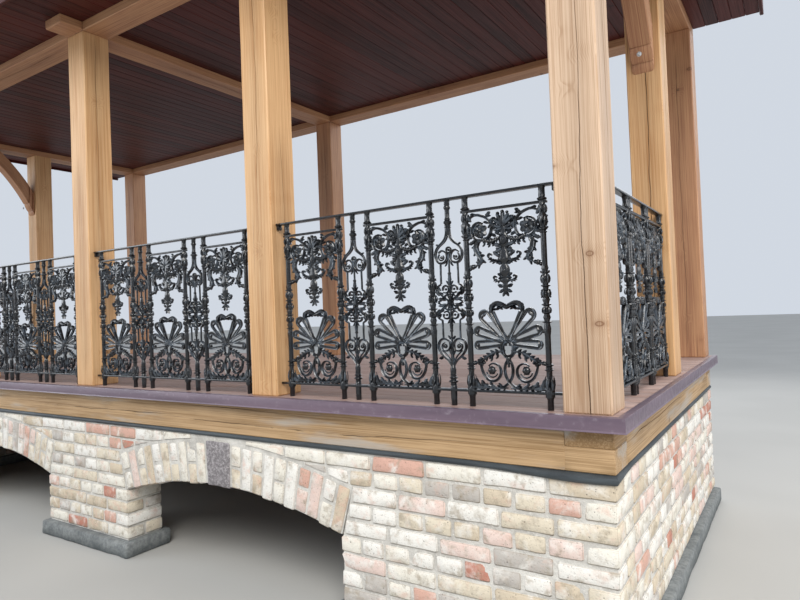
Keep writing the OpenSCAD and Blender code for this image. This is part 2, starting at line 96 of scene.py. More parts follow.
def add_camera():
    yaw, pitch, roll = (math.radians(v) for v in CAMERA_TURN)
    forward = Vector((-math.sin(yaw) * math.cos(pitch), math.cos(yaw) * math.cos(pitch), math.sin(pitch)))
    level = Vector((math.cos(yaw), math.sin(yaw), 0))
    top = level.cross(forward)
    right = math.cos(roll) * level + math.sin(roll) * top
    up = math.cos(roll) * top - math.sin(roll) * level
    data = bpy.data.cameras.new("Camera")
    data.sensor_fit = "HORIZONTAL"
    data.sensor_width = 36
    data.lens = CAMERA_LENS
    data.clip_end = 200
    camera = bpy.data.objects.new("Camera", data)
    rows = [(right[i], up[i], -forward[i], CAMERA_PLACE[i]) for i in range(3)]
    camera.matrix_world = Matrix(rows + [(0, 0, 0, 1)])
    bpy.context.collection.objects.link(camera)
    bpy.context.scene.camera = camera


add_camera()


# Materials

def tone(code):
    """Linear colour of a hexadecimal screen colour."""
    parts = [int(code[i:i + 2], 16) / 255 for i in (0, 2, 4)]
    return tuple(v / 12.92 if v <= 0.04045 else ((v + 0.055) / 1.055) ** 2.4 for v in parts) + (1,)


def grey_stops(*stops):
    return [(place, (level, level, level, 1)) for place, level in stops]


class Paint:
    """A surface material whose colour, roughness and bump come from nodes."""

    def __init__(self, name, roughness, specular):
        self.material = bpy.data.materials.new(name)
        self.material.use_nodes = True
        self.nodes = self.material.node_tree.nodes
        self.links = self.material.node_tree.links
        self.nodes.clear()
        self.shader = self.nodes.new("ShaderNodeBsdfPrincipled")
        output = self.nodes.new("ShaderNodeOutputMaterial")
        self.links.new(self.shader.outputs[0], output.inputs[0])
        self.shader.inputs["Roughness"].default_value = roughness
        self.shader.inputs["Specular IOR Level"].default_value = specular
        self.normal = None

    def put(self, socket, value):
        if isinstance(value, bpy.types.NodeSocket):
            self.links.new(value, socket)
        else:
            socket.default_value = value

    def node(self, kind, inputs=None, **settings):
        """Outputs of a new node with these settings and these values or links on its inputs."""
        node = self.nodes.new("ShaderNode" + kind)
        for key, value in settings.items():
            setattr(node, key, value)
        for key, value in (inputs or {}).items():
            self.put(node.inputs[key], value)
        return node.outputs

    def value(self, name):
        return self.node("Attribute", attribute_name=name)["Fac"]

    def grain(self):
        return self.node("Attribute", attribute_name="grain")["Vector"]

    def place(self):
        return self.node("TexCoord")["Object"]

    def stretch(self, vector, factors):
        return self.node("VectorMath", {0: vector, 1: factors}, operation="MULTIPLY")[0]

    def shift(self, vector, offset):
        return self.node("VectorMath", {0: vector, 1: offset}, operation="ADD")[0]

    def split(self, vector):
        return self.node("SeparateXYZ", {0: vector})

    def join(self, x, y, z):
        return self.node("CombineXYZ", {0: x, 1: y, 2: z})[0]

    def noise(self, vector, scale, detail=3.0, rough=0.55, distortion=0.0, output="Fac"):
        return self.node("TexNoise", {"Vector": vector, "Scale": scale, "Detail": detail, "Roughness": rough,
                                      "Distortion": distortion})[output]

    def cells(self, vector, scale):
        return self.node("TexVoronoi", {"Vector": vector, "Scale": scale})["Distance"]

    def maths(self, operation, a, b=0.0, clamp=False):
        return self.node("Math", {0: a, 1: b}, operation=operation, use_clamp=clamp)[0]

    def add(self, a, b, clamp=False):
        return self.maths("ADD", a, b, clamp)

    def less(self, a, b):
        return self.maths("SUBTRACT", a, b)

    def times(self, a, b, clamp=False):
        return self.maths("MULTIPLY", a, b, clamp)

    def fit(self, value, low, high, first=0.0, last=1.0):
        """Smooth step from first to last while the value runs from low to high."""
        return self.node("MapRange", {"Value": value, "From Min": low, "From Max": high, "To Min": first,
                                      "To Max": last}, interpolation_type="SMOOTHSTEP")[0]

    def mix(self, factor, a, b):
        return self.node("Mix", {0: factor, 6: a, 7: b}, data_type="RGBA")[2]

    def blend(self, value, low, high, first, last):
        """From one colour to another while the value runs from low to high."""
        return self.mix(self.fit(value, low, high), tone(first), tone(last))

    def wash(self, colour, value, low, high, amount, code):
        """The colour with so much of another over it where the value is high."""
        return self.mix(self.fit(value, low, high, 0, amount), colour, tone(code))

    def ramp(self, factor, stops, interpolation="LINEAR"):
        node = self.nodes.new("ShaderNodeValToRGB")
        self.put(node.inputs[0], factor)
        ramp = node.color_ramp
        ramp.interpolation = interpolation
        while len(ramp.elements) < len(stops):
            ramp.elements.new(0.5)
        for element, (place, colour) in zip(ramp.elements, stops):
            element.position = place
            element.color = colour
        return node.outputs[0]

    def bump(self, height, strength, distance):
        inputs = {"Strength": strength, "Distance": distance, "Height": height}
        if self.normal is not None:
            inputs["Normal"] = self.normal
        self.normal = self.node("Bump", inputs)[0]

    def done(self, colour, roughness=None):
        self.put(self.shader.inputs["Base Color"], colour)
        if roughness is not None:
            self.put(self.shader.inputs["Roughness"], roughness)
        if self.normal is not None:
            self.put(self.shader.inputs["Normal"], self.normal)
        return self.material


RING_WIDTH = 0.0042
DECK_RING_WIDTH = 0.01
KNOT_CELLS = 5.2
HEART_OFFSET = 0.07
CHECK_SHADE_COLOUR = "3a2516"


def timber(name, light, dark, knot, gloss, ring=RING_WIDTH, weather=None, along=None, grey=None, shine=0.4):
    """Sawn softwood: year rings round the heart, fibres, small round knots and checks darkened with painted
    shade. Wood without a grain of its own runs along an axis; weather is a colour in patches, and grey is the
    dry pair by tint."""
    p = Paint(name, 0.5, shine)
    x, y, z = p.split(p.grain() if along is None else p.place())
    if along == "y":
        x, y, z = y, z, x
    if along is not None:
        z = p.add(z, HEART_OFFSET)
    line = p.join(x, y, z)

    def streaks(lengthwise, crosswise, detail, rough=0.55):
        return p.noise(p.stretch(line, (lengthwise, crosswise, crosswise)), 1.0, detail, rough)

    # Rings swell out round each knot
    bend = p.split(p.noise(p.stretch(line, (0.6, 4, 4)), 1.0, 2, output="Color"))
    wy, wz = (p.add(v, p.times(p.less(b, 0.5), 0.022)) for v, b in ((y, bend[1]), (z, bend[2])))
    turn = p.times(p.maths("ARCTAN2", z, y), 0.09)
    spots = p.cells(p.join(x, turn, 0.37), KNOT_CELLS)
    swell = p.fit(spots, 0, 0.3, 1, 0)
    radius = p.maths("POWER", p.add(p.times(wy, wy), p.times(wz, wz)), 0.5)
    phase = p.times(p.add(radius, p.times(swell, 0.016)), 1 / ring)
    rings = p.ramp(p.maths("FRACT", phase), grey_stops((0, 0.1), (0.5, 0.35), (0.82, 1), (1, 0.15)))
    fibre = streaks(1.6, 150, 4, 0.65)
    broad = streaks(0.7, 14, 4, 0.6)
    cloud = streaks(2.4, 5, 3)

    shade = p.add(p.times(rings, 0.2), p.times(p.fit(fibre, 0.3, 0.7), 0.36))
    shade = p.add(shade, p.times(broad, 0.42))
    shade = p.add(shade, p.times(p.less(cloud, 0.5), 0.35))
    shade = p.add(shade, p.times(swell, 0.1))
    if grey is None:
        shade = p.add(shade, p.times(p.less(p.value("tint"), 0.4), 0.55))
    colour = p.blend(shade, 0.2, 0.85, light, dark)
    if grey is not None:
        dry = p.blend(shade, 0.25, 0.8, *grey)
        colour = p.mix(p.fit(p.value("tint"), 0.35, 0.95, 0, 0.9), colour, dry)
    if weather is not None:
        colour = p.wash(colour, streaks(1.1, 8, 4, 0.6), 0.5, 0.68, 0.8, weather)
    eye = p.ramp(spots, grey_stops((0, 0.45), (0.03, 0.3), (0.046, 1), (0.062, 0.2), (0.1, 0)))
    colour = p.mix(p.times(eye, 0.85), colour, tone(knot))
    colour = p.wash(colour, streaks(1.3, 95, 2, 0.5), 0.69, 0.75, 0.6, knot)
    # Checks are darkened with painted shade along their floors
    if along is None:
        colour = p.mix(p.times(p.value("shade"), 0.9, True), colour, tone(CHECK_SHADE_COLOUR))
    p.bump(p.add(p.times(rings, 0.4), fibre), 0.25, 0.0012)
    p.bump(streaks(14, 420, 2), 0.18, 0.0005)
    return p.done(colour, p.fit(fibre, 0.3, 0.7, *gloss))


def brick_paint(name, stops, speckle):
    """Reclaimed brick: a pale body with pink, grey and whitish patches, pits and dark grit, and painted shade
    along its edges.
    """
    p = Paint(name, 0.92, 0.2)
    where = p.grain()
    mottle = p.noise(where, 18, 5, 0.65)
    white = p.noise(where, 9, 4, 0.62, 0.5)
    warm = p.noise(p.shift(where, (3.1, 5.2, 1.7)), 13, 4, 0.6, 0.4)
    dull = p.noise(p.shift(where, (7.4, 2.3, 6.1)), 16, 4, 0.65)
    colour = p.wash(p.ramp(p.value("tint"), stops, "CONSTANT"), warm, 0.5, 0.72, 0.5, "d3aa97")
    colour = p.wash(colour, dull, 0.48, 0.7, 0.75, "a39785")
    colour = p.wash(colour, white, 0.48, 0.7, 0.8, "e8e5de")
    grit = p.noise(where, 150, 3, 0.7)
    colour = p.wash(colour, grit, 0.55, 0.74, speckle, "6f6252")
    pits = p.cells(where, 62)
    gate = p.fit(p.noise(where, 30, 2), 0.5, 0.62)
    colour = p.mix(p.times(p.fit(pits, 0.1, 0.2, 0.7, 0), gate), colour, tone("463c33"))
    # Edges are darkened with painted shade in the joints, the lower edges most with painted shadow
    for low, high, amount, code in ((1.1, 1.8, 0.65, "6d6254"), (0.72, 1.0, 0.5, "8a7f70")):
        colour = p.mix(p.times(p.fit(p.value("shade"), low, high), amount), colour, tone(code))
    p.bump(mottle, 0.9, 0.007)
    p.bump(p.fit(pits, 0.08, 0.3), 0.5, 0.003)
    p.bump(grit, 0.6, 0.002)
    return p.done(colour, p.fit(mottle, 0.3, 0.7, 0.82, 0.96))


def mortar_paint():
    p = Paint("mortar", 0.95, 0.15)
    where = p.place()
    grain = p.noise(where, 45, 5, 0.7)
    sand = p.noise(where, 320, 2, 0.6)
    colour = p.blend(p.noise(where, 6, 4, 0.6), 0.32, 0.7, "d9d6cf", "b7b3ac")
    colour = p.wash(colour, grain, 0.5, 0.72, 0.7, "ebe8e1")
    colour = p.wash(colour, sand, 0.55, 0.75, 0.35, "7d766c")
    p.bump(grain, 1.0, 0.009)
    p.bump(sand, 0.4, 0.0015)
    return p.done(colour)


def concrete_paint():
    """Cast concrete, damp at its foot and in patches."""
    p = Paint("concrete", 0.93, 0.25)
    where = p.place()
    grain = p.noise(where, 38, 5, 0.7)
    foot = p.fit(p.split(where)[2], 0.0, 0.07, 0.6, 0)
    damp = p.add(foot, p.fit(p.noise(where, 3, 5, 0.6), 0.45, 0.75, 0, 0.4), True)
    colour = p.mix(damp, p.blend(grain, 0.3, 0.7, "8f9291", "6d7172"), tone("43494b"))
    p.bump(grain, 0.8, 0.006)
    p.bump(p.fit(p.cells(where, 42), 0.04, 0.15), 0.5, 0.003)
    return p.done(colour)


def felt_paint():
    p = Paint("bitumen_felt", 0.55, 0.4)
    where = p.place()
    grit = p.noise(where, 520, 3, 0.6)
    smear = p.noise(p.stretch(where, (3, 3, 26)), 1.0, 4, 0.6)
    colour = p.wash(p.blend(smear, 0.35, 0.7, "2c3135", "454c50"), grit, 0.56, 0.74, 0.5, "6b7276")
    p.bump(smear, 0.4, 0.004)
    p.bump(grit, 0.35, 0.0008)
    return p.done(colour, p.fit(grit, 0.3, 0.7, 0.42, 0.7))


def flashing_paint():
    p = Paint("coated_sheet_steel", 0.36, 0.5)
    where = p.place()
    wave = p.noise(p.stretch(where, (2, 2, 14)), 1.0, 3)
    dust = p.noise(where, 28, 5, 0.7)
    colour = p.wash(p.blend(wave, 0.3, 0.7, "6c5b68", "5b4c59"), dust, 0.54, 0.8, 0.45, "a79ca6")
    p.bump(wave, 0.25, 0.006)
    p.bump(p.noise(where, 700, 2, 0.5), 0.06, 0.0004)
    return p.done(colour, p.fit(dust, 0.35, 0.75, 0.3, 0.55))


def iron_paint():
    """Gloss paint over sand-cast iron, with dust in its hollows and painted highlights on its raised edges."""
    p = Paint("gloss_black_cast_iron", 0.3, 0.5)
    where = p.grain()
    lump = p.noise(where, 70, 4, 0.6)
    sand = p.noise(where, 420, 3, 0.6)
    hollow = p.times(p.value("shade"), p.fit(lump, 0.3, 0.65, 0.05, 0.3), True)
    colour = p.mix(hollow, p.blend(lump, 0.3, 0.7, "08090c", "11151b"), tone("33363a"))
    # Painted highlight: a light blue-grey on the ridges, which carry negative shade values
    edge = p.times(p.value("shade"), -0.6, True)
    colour = p.mix(p.times(edge, p.fit(p.noise(where, 24, 3), 0.42, 0.6)), colour, tone("7d8a98"))
    p.bump(lump, 0.6, 0.003)
    p.bump(sand, 0.25, 0.0006)
    p.shader.inputs["Coat Weight"].default_value = 0.3
    p.shader.inputs["Coat Roughness"].default_value = 0.1
    return p.done(colour, p.fit(sand, 0.3, 0.7, 0.2, 0.34))


def zinc_paint():
    p = Paint("zinc_plated_steel", 0.35, 0.6)
    cloud = p.noise(p.place(), 160, 3, 0.6)
    p.bump(cloud, 0.2, 0.0006)
    return p.done(p.blend(cloud, 0.3, 0.7, "c9cbcb", "9b9fa1"), p.fit(cloud, 0.3, 0.7, 0.28, 0.45))


def dark_brick_paint():
    p = Paint("over_burnt_brick", 0.85, 0.35)
    where = p.grain()
    mottle = p.noise(where, 60, 5, 0.7)
    speck = p.cells(where, 150)
    colour = p.blend(mottle, 0.38, 0.66, "757072", "aaa5a6")
    colour = p.mix(p.fit(speck, 0.15, 0.4, 0.7, 0), colour, tone("494445"))
    p.bump(mottle, 0.9, 0.005)
    p.bump(speck, 0.4, 0.0016)
    return p.done(colour, p.fit(mottle, 0.3, 0.7, 0.7, 0.92))


CREAM, PALE, BUFF, SAND, STONE, ROSE, PINK, RED = (tone(code) for code in (
    "e2ddd1", "e6e3dc", "d6cbb7", "cbbda7", "b9b3ac", "ddc7bd", "cfa696", "b9806f"))
WALL_STOPS = [(0, CREAM), (0.2, PALE), (0.4, BUFF), (0.55, SAND), (0.68, STONE), (0.78, ROSE), (0.88, PINK),
              (0.95, RED)]
RING_STOPS = [(0, CREAM), (0.26, PALE), (0.48, BUFF), (0.64, SAND), (0.76, ROSE), (0.88, STONE), (0.95, PINK)]
SAWN_PINE = ("c8a06c", "a07743", "5f3a1d", (0.6, 0.8))

post_timber = timber("honey_pine", "d6ae80", "b58453", "6d4426", (0.42, 0.6), grey=("cdb39b", "a48569"))
# A darker copy of the post timber: painted shade for the wood under the roof
shaded_pine = timber("honey_pine_in_shade", "bd906a", "94654a", "4f2e1b", (0.45, 0.62))
sill_timber = timber("weathered_oiled_pine", "bd9d76", "8a6c47", "4f341f", (0.5, 0.72), weather="a9a39b")
sawn_x = timber("sawn_pine_along_x", *SAWN_PINE, along="x")
sawn_y = timber("sawn_pine_along_y", *SAWN_PINE, along="y")
# Dark red-brown stain, made darker still as painted shade under the roof
ceiling_timber = timber("stained_boards_with_painted_shade", "53201b", "2c0e0e", "1a0606", (0.42, 0.55), shine=0.22)
deck_timber = timber("deck_boards", "ae958c", "866b62", "6d5449", (0.5, 0.7), ring=DECK_RING_WIDTH)
wall_brick = brick_paint("reclaimed_brick", WALL_STOPS, 0.5)
ring_brick = brick_paint("arch_brick", RING_STOPS, 0.6)
dark_brick = dark_brick_paint()
zinc = zinc_paint()
mortar = mortar_paint()
concrete = concrete_paint()
felt = felt_paint()
flashing = flashing_paint()
iron = iron_paint()


# Building meshes

class Shape:
    """Points and faces of one piece, with a tint, a grain position and a shade at every point."""

    def __init__(self):
        self.points = []
        self.faces = []
        self.tints = []
        self.grains = []
        self.shades = []
        self.count = 0

    def add(self, points, faces, tint=0.5, grain=None, shade=0.0):
        points = np.asarray(points, dtype=float)
        for group in faces if isinstance(faces, list) else [faces]:
            self.faces.append(np.asarray(group, dtype=np.int64) + self.count)
        self.points.append(points)
        self.tints.append(np.broadcast_to(np.asarray(tint, dtype=float), len(points)))
        self.grains.append(points if grain is None else grain)
        self.shades.append(np.broadcast_to(np.asarray(shade, dtype=float), len(points)))
        self.count += len(points)

    def piece(self, name, material, slot, nodes, crease=40, flip=False):
        """The finished object, riding on the body and standing for the named nodes."""
        mesh = bpy.data.meshes.new(name)
        loops = np.concatenate([(group[:, ::-1] if flip else group).ravel() for group in self.faces])
        sizes = np.concatenate([np.full(len(group), group.shape[1]) for group in self.faces])
        starts = np.concatenate([[0], np.cumsum(sizes)[:-1]])
        mesh.vertices.add(self.count)
        mesh.vertices.foreach_set("co", np.concatenate(self.points).astype(np.float32).ravel())
        mesh.loops.add(len(loops))
        mesh.loops.foreach_set("vertex_index", loops.astype(np.int32))
        mesh.polygons.add(len(sizes))
        mesh.polygons.foreach_set("loop_start", starts.astype(np.int32))
        mesh.update(calc_edges=True)
        mesh.validate()
        for label, kind, data in (("tint", "FLOAT", self.tints), ("shade", "FLOAT", self.shades),
                                  ("grain", "FLOAT_VECTOR", self.grains)):
            layer = mesh.attributes.new(label, kind, "POINT")
            layer.data.foreach_set("vector" if kind == "FLOAT_VECTOR" else "value",
                                   np.concatenate(data).astype(np.float32).ravel())
        mesh.polygons.foreach_set("use_smooth", np.ones(len(mesh.polygons), dtype=bool))
        mesh.set_sharp_from_angle(angle=math.radians(crease))
        mesh.materials.append(material)
        obj = bpy.data.objects.new(name, mesh)
        bpy.context.collection.objects.link(obj)
        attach(obj, "root")
        if nodes:
            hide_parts(*nodes)
        return obj


def wander(points, size, seed):
    """Smooth wandering between about -1.5 and 1.5 with features of the given size."""
    rng = np.random.default_rng(seed)
    waves = rng.normal(size=(6, 3)) * (1.5 / size)
    phases = rng.uniform(0, 2 * math.pi, 6)
    return np.sin(points @ waves.T + phases).sum(axis=1) / math.sqrt(6)


def block_faces(nx, ny, nz):
    """Grid places of the surface points of a block cut into nx, ny and nz, and its faces."""
    index = {}
    places = []

    def corner(*place):
        if place not in index:
            index[place] = len(places)
            places.append(place)
        return index[place]

    def square(order, place, a, b):
        """A cell of the side whose grid runs along the axes a and b."""
        face = []
        for along_a, along_b in order:
            spot = list(place)
            spot[a] += along_a
            spot[b] += along_b
            face.append(corner(*spot))
        return face

    cuts = (nx, ny, nz)
    b_first, a_first = ((0, 0), (0, 1), (1, 1), (1, 0)), ((0, 0), (1, 0), (1, 1), (0, 1))
    faces = []
    for a, b, normal in ((0, 1, 2), (0, 2, 1), (1, 2, 0)):
        orders = (a_first, b_first) if normal == 1 else (b_first, a_first)
        for i in range(cuts[a]):
            for j in range(cuts[b]):
                for order, level in zip(orders, (0, cuts[normal])):
                    place = [0, 0, 0]
                    place[a], place[b], place[normal] = i, j, level
                    faces.append(square(order, place, a, b))
    return np.array(places), np.array(faces)


GRIDS = {}


def rounded_block(low, high, radius, cuts):
    """Points and faces of a block with rounded edges, and how near each point is to an edge."""
    if cuts not in GRIDS:
        GRIDS[cuts] = block_faces(*cuts)
    places, faces = GRIDS[cuts]
    low, high = np.asarray(low, dtype=float), np.asarray(high, dtype=float)
    radius = min(radius, (high - low).min() * 0.45)
    points = np.empty((len(places), 3))
    for axis in range(3):
        inner = np.linspace(low[axis] + radius, high[axis] - radius, cuts[axis] - 1)
        points[:, axis] = np.concatenate([[low[axis]], inner, [high[axis]]])[places[:, axis]]
    core = np.clip(points, low + radius, high - radius)
    away = points - core
    length = np.linalg.norm(away, axis=1, keepdims=True)
    edge = ((np.abs(away) > 1e-9).sum(axis=1) > 1).astype(float)
    return core + away / np.maximum(length, 1e-9) * radius, faces, edge


def mirror(side, inner, outer):
    """The span between two distances from the middle, on one side of it, from low to high."""
    return sorted((side * inner, side * outer))


def tube_links(rings, n):
    """Numbers of each point and the next one round every ring of a tube but its last."""
    first = np.arange(rings - 1)[:, None] * n
    return (first + np.arange(n)).ravel(), (first + (np.arange(n) + 1) % n).ravel()


def tube_faces(rings, n):
    """Faces of a tube of rings of n points each: its sides, its first end and its last."""
    start, after = tube_links(rings, n)
    sides = np.column_stack([start, after, after + n, start + n])
    return [sides, np.arange(n)[None, ::-1], (np.arange(n) + (rings - 1) * n)[None, :]]


CHECK_FADE = 0.08
CHECK_LEAST = 0.0004
LIP_SHADE = 0.25
END_BEVEL = 0.7


def check_rows(check, along, length, half, seed):
    """Lip, floor and lip of a drying crack: places across the face, depths and shades along the beam."""
    face, across, width, depth, start, end = check
    share = along / length
    level = np.zeros(len(along))
    fade = np.clip((share - start) / CHECK_FADE, 0, 1) * np.clip((end - share) / CHECK_FADE, 0, 1)
    track = np.column_stack([along, np.full(len(along), across * 9), level])
    bend = (wander(track, 0.55, seed + face * 7 + 3) * 0.010 + wander(track, 0.13, seed + face * 5 + 1) * 0.0026
            + wander(track, 0.05, seed + 2) * 0.0016)
    gap = np.clip(wander(track, 0.30, seed + 11) * 0.45 + 0.75, 0.15, 1.3) * fade
    centre = across * half * 0.8 + bend
    wide = np.maximum(width * gap / 2, CHECK_LEAST)
    return [(centre - wide, level, LIP_SHADE * fade), (centre, depth * gap, fade),
            (centre + wide, level, LIP_SHADE * fade)]


def beam(shape, low, high, axis, seed, checks=(), edge=0.004, step=0.06, heart=None, rough=0.0007, tint=0.4):
    """Sawn timber between two corners. Each check is (face, across, width, depth, from, to): a drying crack
    that wanders along one of the four faces, between two shares of the length. With v and w for the two
    directions that follow the beam's own in the order x, y, z, face 0 is +v, 1 is +w, 2 is -v and 3 is -w."""
    rng = np.random.default_rng(seed)
    low, high = np.asarray(low, dtype=float), np.asarray(high, dtype=float)
    middle = np.roll((low + high) / 2, -axis)
    size = np.roll(high - low, -axis)
    length, half_v, half_w = size[0], size[1] / 2, size[2] / 2
    count = max(2, int(round(length / step)))
    bevel = min(edge, length / 4)
    along = np.concatenate([[0, bevel], np.linspace(0, length, count + 1)[1:-1], [length - bevel, length]])
    rings = len(along)
    level = np.zeros(rings)
    columns = []
    for face in range(4):
        half = (half_w, half_v)[face % 2]
        inner = half - edge
        mine = sorted((c for c in checks if c[0] == face), key=lambda c: c[1])
        rows = [(np.full(rings, -inner), level, level)]
        if not mine:
            rows.append((level, level, level))
        for check in mine:
            rows += check_rows(check, along, length, half, seed)
        rows.append((np.full(rings, inner), level, level))
        for across, sink, dark in rows:
            across = np.clip(across, -inner, inner)
            v, w = ((half_v - sink, across), (-across, half_w - sink), (sink - half_v, -across),
                    (across, sink - half_w))[face]
            columns.append((v, w, dark))
    points = np.empty((rings, len(columns), 3))
    shade = np.empty((rings, len(columns)))
    for j, (v, w, dark) in enumerate(columns):
        points[:, j] = np.column_stack([along, v, w])
        shade[:, j] = dark
    for ring in (0, rings - 1):
        for k, half in ((1, half_v), (2, half_w)):
            points[ring, :, k] = np.clip(points[ring, :, k], -half + edge * END_BEVEL, half - edge * END_BEVEL)
    flat = points.reshape(-1, 3)
    inward = -np.abs(wander(flat + seed * 0.37, 0.22, seed + 23)) * rough
    flat[:, 1] += inward * np.sign(flat[:, 1])
    flat[:, 2] += inward * np.sign(flat[:, 2])
    if heart is None:
        heart = rng.uniform(-0.02, 0.02, 2)
    grain = flat + np.array([rng.uniform(0, 40), heart[0], heart[1]])
    world = np.roll(flat + np.array([-length / 2, 0, 0]) + middle, axis, axis=1)
    shape.add(world, tube_faces(rings, len(columns)), tint, grain, shade.ravel())


# Concrete footings

FOOTING_EDGE = 0.014
FOOTING_ROUGH_ZONE = 0.02
SHUTTER_TOP = 0.05


def footing(shape, low, high, seed, cell=0.045):
    """A cast block, rough on top and on the upper part of its sides."""
    size = np.asarray(high) - np.asarray(low)
    cuts = tuple(int(v) for v in np.maximum(3, np.round(size / cell)))
    points, faces, _ = rounded_block(low, high, FOOTING_EDGE, cuts)
    middle = (np.asarray(low) + np.asarray(high)) / 2
    outward = np.sign(points - middle) * (np.abs(points - middle) > size / 2 - FOOTING_ROUGH_ZONE)
    rough = -np.abs(wander(points, 0.09, seed)) * 0.005 - np.abs(wander(points, 0.03, seed + 1)) * 0.002
    points = points + outward * np.column_stack([rough, rough, np.where(points[:, 2] > SHUTTER_TOP, rough, 0)])
    shape.add(points, faces)


def front_footings():
    """One block under each pier beside the arches."""
    shape = Shape()
    edges = [-HALF] + [cx + side * (ARCH_SPAN / 2) for cx in ARCH_XS for side in (-1, 1)] + [HALF]
    for i, (a, b) in enumerate(zip(edges[::2], edges[1::2])):
        footing(shape, (a - FOOTING_STEP, FRONT_Y - FOOTING_STEP, 0),
                (b + FOOTING_STEP, FRONT_Y + WALL_T + FOOTING_STEP, FOOTING_H), 5 + i)
    return shape


def other_footings():
    shape = Shape()
    rear = BACK_Y - WALL_T - FOOTING_STEP
    for side in (-1, 1):
        a, b = mirror(side, HALF - WALL_T - FOOTING_STEP, HALF + FOOTING_STEP)
        footing(shape, (a, FRONT_Y + WALL_T + FOOTING_STEP, 0), (b, rear, FOOTING_H), 9 + side, 0.07)
    footing(shape, (-HALF - FOOTING_STEP, rear, 0), (HALF + FOOTING_STEP, BACK_Y, FOOTING_H), 12, 0.09)
    return shape


front_footings().piece("front_footing_blocks", concrete, "concrete", ["front_footings"])
other_footings().piece("side_and_rear_footing_blocks", concrete, "concrete", ["side_footings", "rear_footing"])


# Brickwork: rows of stretchers and of headers in turn, pushed off the backs of the arches

JOINT = 0.009
CORE_JOINT = 0.010
COURSES = 9
COURSE = (BRICK_TOP - FOOTING_H) / COURSES
BRICK_W = 0.125
STRETCHER_L = 0.258
HEADER_W = 0.127
LEAST_BRICK = 0.05
INSET = 0.0015
SIDE_INSET = 0.0018
UNEVEN = 0.0012
MORTAR_DEPTH = 0.0105
RING_MORTAR_DEPTH = 0.0095
MORTAR_LAP = 0.002
ARCH_BACK = ARCH_R + RING_DEPTH + JOINT
RING_MIDDLE = ARCH_R + RING_DEPTH / 2
KEY_HALF = math.asin(KEY_W / 2 / ARCH_R) * RING_MIDDLE
LEAVES = ((0.0, BRICK_W, 0.0), (BRICK_W + CORE_JOINT, WALL_T, WALL_T + JOINT))
FINE, PLAIN, LENGTHWISE = (5, 3, 3), (3, 3, 3), (3, 5, 3)
# Wear: how much of a brick may go into an arch, the share of chipped bricks and the reach of a chip; then the
# height of the lower edge that is darkened as painted shadow
MOST_LOST = 0.72
CHIPPED = 0.35
CHIP_REACH = 0.035
SHADOW_EDGE_HEIGHT = 0.006
# Above HAUNCH_Z the wall's rows reach in over the rings by HAUNCH_REACH before they are pushed off
HAUNCH_Z = 0.70
HAUNCH_REACH = 0.16


def ring_edge(z):
    """Half width, at height z, of the place that an arch and its opening take out of the wall."""
    rise = z - ARCH_CENTRE_Z
    if z <= ARCH_SPRING:
        return ARCH_SPAN / 2
    if z <= ARCH_CENTRE_Z + ARCH_BACK * math.cos(ARCH_HALF):
        return rise * math.tan(ARCH_HALF) + JOINT
    return math.sqrt(max(0.0, ARCH_BACK * ARCH_BACK - rise * rise))


def off_the_arches(points):
    """Moves points out of the arches, upwards off the back of a ring or sideways off its seat; None where
    most of the brick would be lost."""
    inside = 0
    points = points.copy()
    for cx in ARCH_XS:
        dx = points[:, 0] - cx
        edge = np.array([ring_edge(z) for z in points[:, 2]])
        hit = np.abs(dx) < edge
        inside += hit.sum()
        if not hit.any():
            continue
        top = ARCH_CENTRE_Z + np.sqrt(np.maximum(0, ARCH_BACK * ARCH_BACK - dx * dx))
        up = top - points[:, 2]
        out = edge - np.abs(dx)
        lift = hit & (up < out * 1.6)
        push = hit & ~lift
        points[lift, 2] = top[lift]
        points[push, 0] = cx + (1 if dx.mean() > 0 else -1) * edge[push]
    return None if inside > MOST_LOST * len(points) else points


def brick(shape, low, high, rng, cuts=FINE, shaper=None):
    """A worn brick with dents, rounded edges and now and then a chipped corner."""
    points, faces, edge = rounded_block(low, high, rng.uniform(0.007, 0.012), cuts)
    middle = (np.asarray(low) + np.asarray(high)) / 2
    seed = int(rng.integers(1 << 30))
    outward = points - middle
    outward /= np.linalg.norm(outward, axis=1, keepdims=True)
    dent = wander(points, 0.05, seed) * 0.0011 + wander(points, 0.02, seed + 1) * 0.0008 - 0.0012
    dent = dent - edge * np.abs(wander(points, 0.03, seed + 2)) * 0.003
    points = points + outward * dent[:, None]
    if rng.random() < CHIPPED:
        corner = middle + (np.asarray(high) - middle) * rng.choice([-1, 1], 3)
        near = np.clip(1 - np.linalg.norm(points - corner, axis=1) / CHIP_REACH, 0, 1)
        points = points + (middle - points) * (near * rng.uniform(0.05, 0.16))[:, None]
    grain = points + rng.uniform(0, 30, 3)
    # Edge values become painted shade in the paint, doubled along the lower edge as painted shadow
    edge = edge * np.where(points[:, 2] < low[2] + SHADOW_EDGE_HEIGHT, 2.0, 1.0)
    if shaper is not None:
        points = shaper(points)
        if points is None:
            return
    shape.add(points, faces, rng.random(), grain, edge)


def row_parts(start, end, unit, rng):
    """Start and end of each brick in a row, with uneven lengths and joints that fill it."""
    count = max(1, int(round((end - start + JOINT) / (unit + JOINT))))
    sizes = unit * (1 + rng.normal(0, 0.025, count))
    sizes *= (end - start - (count - 1) * JOINT) / sizes.sum()
    starts = start + np.concatenate([[0], np.cumsum(sizes[:-1] + JOINT)])
    return list(zip(starts, starts + sizes))


def course_span(course):
    """Lower and upper face of the bricks of a course."""
    low = FOOTING_H + course * COURSE + JOINT / 2
    return low, low + COURSE - JOINT


def front_spans(z):
    """Stretches of the front wall between the arches at one height. Above the arches the wall runs through."""
    edge = ring_edge(z)
    if z > HAUNCH_Z:
        edge = max(0.0, edge - HAUNCH_REACH)
    if edge == 0:
        return [(-HALF, HALF)]
    ends = [-HALF] + [cx + side * edge for cx in ARCH_XS for side in (-1, 1)] + [HALF]
    return list(zip(ends[::2], ends[1::2]))


